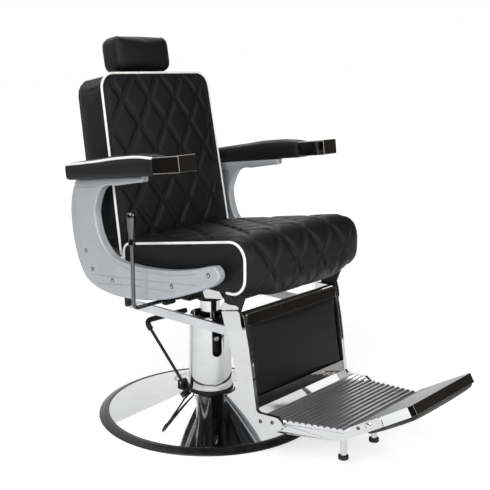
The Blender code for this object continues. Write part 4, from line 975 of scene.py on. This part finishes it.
# Height of the tread line at y.
def tread(y):
    rearY, rearZ = foot["rear"]
    frontY, frontZ = foot["front"]
    return rearZ + (y - rearY) * ((frontZ - rearZ) / (frontY - rearY))


def buildFootPlate():
    rear, front = foot["rear"][0], foot["front"][0]
    step = (front - rear) / foot["ribs"]
    profile = []
    for rib in range(foot["ribs"]):
        for share in foot["ribShares"]:
            y = rear + step * (rib + share)
            across = min(1, abs(share - foot["ribMiddle"]) / foot["ribHalf"])
            profile.append((y, tread(y) - foot["ribHeight"] * across ** foot["ribPower"]))
    for drop in (0, foot["thickness"]):
        lip = flip["place"] @ Vector((0, foot["lipBack"], foot["trayDepth"] / 2 - drop))
        profile.append((lip.y, lip.z))
    floor = foot["ribHeight"] + foot["thickness"]
    for y in (front, foot["taperStart"], rear):
        profile.append((y, tread(y) - floor))
    obj = plate("footPlate", profile, 2 * foot["half"], sideView(0))
    for vert in obj.data.vertices:
        reach = foot["taperStart"] - max(foot["taperStop"], min(foot["taperStart"], vert.co.y))
        vert.co.x -= math.copysign(foot["taper"] * reach, vert.co.x)
    place(obj, "footPlate", "aluminium", "legrest", "foot_plate", angle=50)


buildFootPlate()


# Screw heads on both sides: where, how far out, radius, look and body.
rivets = {
    # The leg and flip rivets take the darker chrome, painted shade.
    "legRivets": ([(-0.38, 0.131), (-0.42, 0.139)], 0.204, 0.0055, "shadedChrome", "legrest"),
    "backPivotBolt": ([(0.145, 0.392)], 0.2145, 0.0105, "zinc", "seat"),
    "flipRivet": ([(-0.655, 0.18)], 0.1614, 0.005, "shadedChrome", "legrest"),
    "flipKnuckle": ([(-0.683, 0.193)], 0.1614, 0.01, "chrome", "legrest"),
}


def buildRivets(side, word):
    for name, (spots, x, radius, look, body) in rivets.items():
        profile = [(0, -0.001), (radius, -0.001), (radius, 0.0006), (radius * 0.84, 0.0018)]
        profile += [(radius * 0.55, 0.0024), (radius * 0.46, 0.001), (0, 0.001)]
        heads = [turn("head", profile, 24, outwardAt(side, side * x, y, z)) for y, z in spots]
        place(join(*heads), name + word, look, body)


for side, word in bothSides:
    buildRivets(side, word)


# Bright trims above and below the panel, with the drop at their backs: the upper one slopes.
trims = {
    "legrest_trim_top": ("legrestTopTrim", 0.01),
    "legrest_trim_low": ("legrestLowTrim", 0),
}


def buildTrim(node, name, drop):
    flat = leg["panel"].inverted()
    spots = [flat @ vert.co for vert in frame["nodes"][node].data.vertices]
    ends = [[pick(spot[axis] for spot in spots) for axis in range(3)] for pick in (min, max)]
    trim = added(bpy.ops.mesh.primitive_cube_add, size=2)
    for vert in trim.data.vertices:
        corner = Vector([ends[vert.co[axis] > 0][axis] for axis in range(3)])
        if vert.co.y > 0 > vert.co.z:
            corner.y -= drop
        vert.co = leg["panel"] @ corner
    bevel(trim, 0.0004, 2)
    place(trim, name, "mirror", "legrest", node)


for node, trim in trims.items():
    buildTrim(node, *trim)

# Plates by the front pivots: corners with their radii, distance out, thickness and edge.
hinge = {
    "gusset": ([(-0.172, 0.4612, 0.001), (-0.236, 0.4612, 0.001), (-0.2575, 0.4375, 0.003)]
        + [(-0.1875, 0.4275, 0.003)], 0.2073, 0.0056, 0.0006),
    "cap": ([(-0.241, 0.411, 0.002), (-0.262, 0.433, 0.005), (-0.28, 0.429, 0.01)]
        + [(-0.305, 0.431, 0.006), (-0.3165, 0.4245, 0.003), (-0.309, 0.4195, 0.001)]
        + [(-0.2565, 0.4088, 0.001)], 0.2137, 0.0026, 0.0006),
    "cover": ([(-0.252, 0.4055, 0.002), (-0.3085, 0.417, 0.004), (-0.3165, 0.413, 0.004)]
        + [(-0.326, 0.364, 0.012), (-0.268, 0.356, 0.012)], 0.2137, 0.0026, 0.0006),
    "bracket": ([(-0.257, 0.4615, 0.001), (-0.333, 0.4615, 0.001), (-0.316, 0.418, 0.006)]
        + [(-0.303, 0.376, 0.016), (-0.267, 0.376, 0.016)], 0.2083, 0.008, 0.0008),
}
pivotBore = arc((-0.285, 0.392), 0.0084, 0, 360, 32)[:-1]


def hingePlate(name, side, holes=()):
    corners, x, thickness, edge = hinge[name]
    return plate(name, rounded(corners[::-1]), thickness, sideView(side * x), holes, edge)


def buildHingePlates():
    for side, word in bothSides:
        pieces = [hingePlate(name, side) for name in ("gusset", "cap", "cover")]
        place(join(*pieces), "hingePlates" + word, "chrome", "seat")
        bracket = hingePlate("bracket", side, [pivotBore])
        node = "front_bracket_" + word.lower()
        place(bracket, "frontBracket" + word, "blackSteel", "seat", node)


buildHingePlates()


def buildTray(facing=0.8):
    tray = soften("flip_tray")
    place(tray, "flipTray", "mirror", "flip_pad", "flip_tray", slot="aluminium")
    for look in ("satin", "chrome"):
        tray.data.materials.append(looks[look])
    # The tray is one aluminium part, but each face takes a finish by the way it points: upward faces the
    # lighter satin, faces across the bright chrome, the rest the dark mirror. This is painted light on the
    # top and sides and painted shade on the front.
    up = flip["place"].to_3x3() @ Vector((0, 0, 1))
    for face in tray.data.polygons:
        if face.normal.dot(up) > facing:
            face.material_index = 1
        elif abs(face.normal.x) > facing:
            face.material_index = 2


buildTray()
print("legrest done")


# Levers: the recline lever on the right and the pump lever behind.
lever = {
    "out": 0.345, "y": -0.055, "z": 0.402, "inner": 0.166, "bend": 0.018, "radius": 0.0055,
    "gripZ": 0.573, "gripGap": 0.0003,
    "grip": [(0, 0.09), (0.007, 0.09), (0.0088, 0.0892), (0.0104, 0.0872), (0.0115, 0.084)]
    + [(0.012, 0.079), (0.0119, 0.07), (0.0104, 0.048), (0.0086, 0.028), (0.0082, 0.02)]
    + [(0.0088, 0.01), (0.01, 0.004), (0.0096, 0.0014), (0.0082, 0.0006), (0, 0.0006)],
    "collars": [(0.168, 0.19, 0.0085), (0.206, 0.216, 0.0105), (0.236, 0.241, 0.0095)],
    "collarBore": 0.0054, "collarEdge": 0.001,
}
pump = {
    "start": Vector((-0.07, 0.05, 0.0883)),
    "reach": Vector((-0.03, 0.13, 0.176)),
    "handle": Vector((0.172, 0, -0.004)),
    "sleeve": 0.032, "bend": 0.02, "grip": 0.0085,
}


# Straight, rounded corner, straight.
def cornered(start, corner, end, radius, steps=10):
    start, corner, end = Vector(start), Vector(corner), Vector(end)
    back = (start - corner).normalized()
    ahead = (end - corner).normalized()
    half = back.angle(ahead) / 2
    reach = radius / math.tan(half)
    points = [start]
    for step in range(steps + 1):
        t = step / steps
        near = corner + back * reach * (1 - t)
        far = corner + ahead * reach * t
        points.append(near.lerp(far, t))
    return points + [end]


def buildReclineLever():
    out, y, z = lever["out"], lever["y"], lever["z"]
    top = (-out, y, lever["gripZ"] - lever["gripGap"])
    line = cornered(top, (-out, y, z), (-lever["inner"], y, z), lever["bend"])
    rod = strand("rod", line, lever["radius"], sides=6)
    # Rod and grip take the darker chrome, painted shade and dark reflection.
    place(rod, "reclineRod", "shadedChrome", "recline_lever", "recline_lever_rod", angle=50)
    grip = turn("grip", lever["grip"], 48, shift(-out, y, lever["gripZ"]))
    place(grip, "reclineGrip", "shadedChrome", "recline_lever", "recline_lever_grip", slot="black_steel", angle=50)
    collars = []
    aside = outwardAt(-1, 0, y, z)
    bore, edge = lever["collarBore"], lever["collarEdge"]
    for start, end, radius in lever["collars"]:
        profile = [(bore, start), (radius - edge, start), (radius, start + edge), (radius, end - edge)]
        profile += [(radius - edge, end), (bore, end)]
        collars.append(turn("collar", profile, 32, aside))
    place(join(*collars), "reclineCollars", "blackSteel", "recline_lever")


def buildPumpLever():
    elbow = pump["start"] + pump["reach"]
    way = pump["reach"].normalized()
    hub = soften("pump_lever_rod", 0.0006, 2)
    place(hub, "pumpRod", "blackSteel", "pump_lever", "pump_lever_rod", angle=45)
    line = cornered(elbow - way * pump["sleeve"], elbow, elbow + pump["handle"], pump["bend"], 14)
    grip = strand("grip", line, pump["grip"], sides=6)
    bevel(grip, 0.002, 3, 60)
    place(grip, "pumpGrip", "rubber", "pump_lever", "pump_lever_grip", angle=50)


buildReclineLever()
buildPumpLever()
print("levers done")


# Everything else of the frame keeps its shape, with softened edges and a finish. A name that ends in _ is
# a right and a left node.
softened = {
    "mirror": ["arm_cap_"],
    "chrome": ["legrest_side_", "foot_side_", "headrest_socket", "headrest_post", "headrest_plate"]
    + ["stop_post_", "back_shaft", "legrest_shaft", "pump_lever_pin"],
    "rubber": ["stop_pad_", "swivel_washer"],
    "aluminium": ["link_bar_"],
    "leather": ["seat_board", "back_shell"],
    "blackSteel": ["pump_collar", "pump_cylinder", "seat_hub", "seat_plate", "cross_bar_front"]
    + ["cross_bar_rear", "rear_bracket_", "lever_block", "recline_lock"],
}
bodyOf = {node: body for body, nodes in frame["record"]["behaviour"]["bodies"].items() for node in nodes}
for look, names in softened.items():
    for name in names:
        for node in (name + "right", name + "left") if name.endswith("_") else (name,):
            place(soften(node), node + "Finish", look, bodyOf[node], node)
hingeEnd = {"y": 0.145, "z": 0.345, "share": 0.55, "top": 0.375}
for node in ("hinge_arm_right", "hinge_arm_left"):
    hingeArm = soften(node)
    for vert in hingeArm.data.vertices:
        if vert.co.z < hingeEnd["top"]:
            vert.co.y = hingeEnd["y"] + (vert.co.y - hingeEnd["y"]) * hingeEnd["share"]
        if vert.co.z < hingeEnd["z"]:
            vert.co.z = hingeEnd["z"] + (vert.co.z - hingeEnd["z"]) * hingeEnd["share"]
    place(hingeArm, node + "Finish", "blackSteel", bodyOf[node], node)
print("plates softened")


# Stage: pale floor, white surroundings and soft lights.
studio = {
    "eye": (-1.7564, -1.7236, 1.036), "yaw": 0.7329142, "pitch": 0.2096528, "lens": 62.1,
    "surround": 0.45, "floorNear": 0.38, "floorFar": 0.62, "floorSeen": 0.2, "wallRadius": 4.2,
    "wallHeight": 0.02, "sideHeight": 1.2, "frontHeight": 5.0, "frontTo": 25, "frontFrom": 172,
    "sideFrom": 100, "nearShare": 0.62, "nearSpan": (-62, -8), "gap": 0.18, "gapSpan": (-165, -105),
    "aim": Vector((0, -0.1, 0.5)),
}
lamps = {
    "key": {"spot": (-2.8, -1.2, 2.1), "size": 2.2, "power": 80},
    "fill": {"spot": (0.2, -3.4, 1.6), "size": 2.2, "power": 46},
    "rim": {"spot": (1.6, 2.0, 2.6), "size": 2.0, "power": 13},
}


# Camera, glossy and transmission rays, each 1 where a ray is of that kind.
def rayKinds(tree):
    path = tree.nodes.new("ShaderNodeLightPath")
    return [Value(tree, path.outputs["Is " + kind + " Ray"]) for kind in ("Camera", "Glossy", "Transmission")]


def floorLook():
    look = Look("floor", Roughness=0.9, Specular_IOR_Level=0.1)
    speck = look.noise(30, 4.0)
    look.wire("Base Color", speck.mix((0.9, 0.9, 0.9), (0.93, 0.93, 0.93)))
    camera, glossy, through = rayKinds(look.tree)
    away = look.spot.node("VectorMath", {0: look.spot}, out=1, operation="LENGTH").between(1.0, 4.0)
    white = studio["floorNear"] + (studio["floorFar"] - studio["floorNear"]) * away
    look.wire("Emission Color", camera * white + (glossy + through) * studio["floorSeen"])
    look.shader.inputs["Emission Strength"].default_value = 1
    return look.material


def wallLook():
    look = Look("wall", Roughness=1.0, Specular_IOR_Level=0.0)
    patch = look.noise(0.35, 3.0)
    look.wire("Base Color", patch.between(0.35, 0.75).mix((0.02, 0.019, 0.018), (0.09, 0.082, 0.074)))
    return look.material


# A dark studio wall that only polished surfaces see.
def buildWall():
    height = studio["wallHeight"]
    ring = {"vertices": 64, "end_fill_type": "NOTHING", "radius": studio["wallRadius"], "depth": height}
    wall = added(bpy.ops.mesh.primitive_cylinder_add, location=(0, 0, height / 2), **ring)
    wall.name = "wall"
    bpy.ops.object.transform_apply(location=True, rotation=True, scale=True)
    for vert in wall.data.vertices:
        turned = math.degrees(math.atan2(vert.co.y, vert.co.x))
        upper = vert.co.z > height / 2
        if upper and not studio["frontTo"] <= turned <= studio["frontFrom"]:
            vert.co.z = studio["frontHeight"]
        elif upper and turned > studio["sideFrom"]:
            vert.co.z = studio["sideHeight"]
        elif not upper and studio["gapSpan"][0] < turned < studio["gapSpan"][1]:
            vert.co.z = studio["gap"]
        if studio["nearSpan"][0] < turned < studio["nearSpan"][1]:
            vert.co.x *= studio["nearShare"]
            vert.co.y *= studio["nearShare"]
    wall.data.materials.append(wallLook())
    for kind in ("camera", "diffuse", "transmission", "shadow"):
        setattr(wall, "visible_" + kind, False)


# Moves a lamp or the camera to a spot, facing a direction.
def aimed(obj, spot, way):
    obj.location = spot
    obj.rotation_euler = way.to_track_quat("-Z", "Y").to_euler()


def buildStage():
    floor = added(bpy.ops.mesh.primitive_plane_add, size=60, location=(0, 0, -0.0005))
    floor.name = "floor"
    floor.data.materials.append(floorLook())
    buildWall()
    world = bpy.data.worlds.new("studio")
    bpy.context.scene.world = world
    world.use_nodes = True
    tree = world.node_tree
    background = tree.nodes["Background"]
    seen = sum(rayKinds(tree))
    seen = seen.math("MINIMUM", seen, 1.0)
    strength = studio["surround"] + (1 - studio["surround"]) * seen
    tree.links.new(strength.socket, background.inputs["Strength"])
    background.inputs["Color"].default_value = (1, 1, 1, 1)
    for name, lamp in lamps.items():
        data = bpy.data.lights.new(name, "AREA")
        data.shape = "SQUARE"
        data.size = lamp["size"]
        data.energy = lamp["power"]
        aimed(linked(name, data), lamp["spot"], studio["aim"] - Vector(lamp["spot"]))
    data = bpy.data.cameras.new("camera")
    data.sensor_width = 36
    data.lens = studio["lens"]
    camera = linked("camera", data)
    level = math.cos(studio["pitch"])
    ahead = (math.cos(studio["yaw"]) * level, math.sin(studio["yaw"]) * level, -math.sin(studio["pitch"]))
    aimed(camera, studio["eye"], Vector(ahead))
    bpy.context.scene.camera = camera
    bpy.context.scene.view_settings.view_transform = "Standard"


buildStage()
print("stage ready")
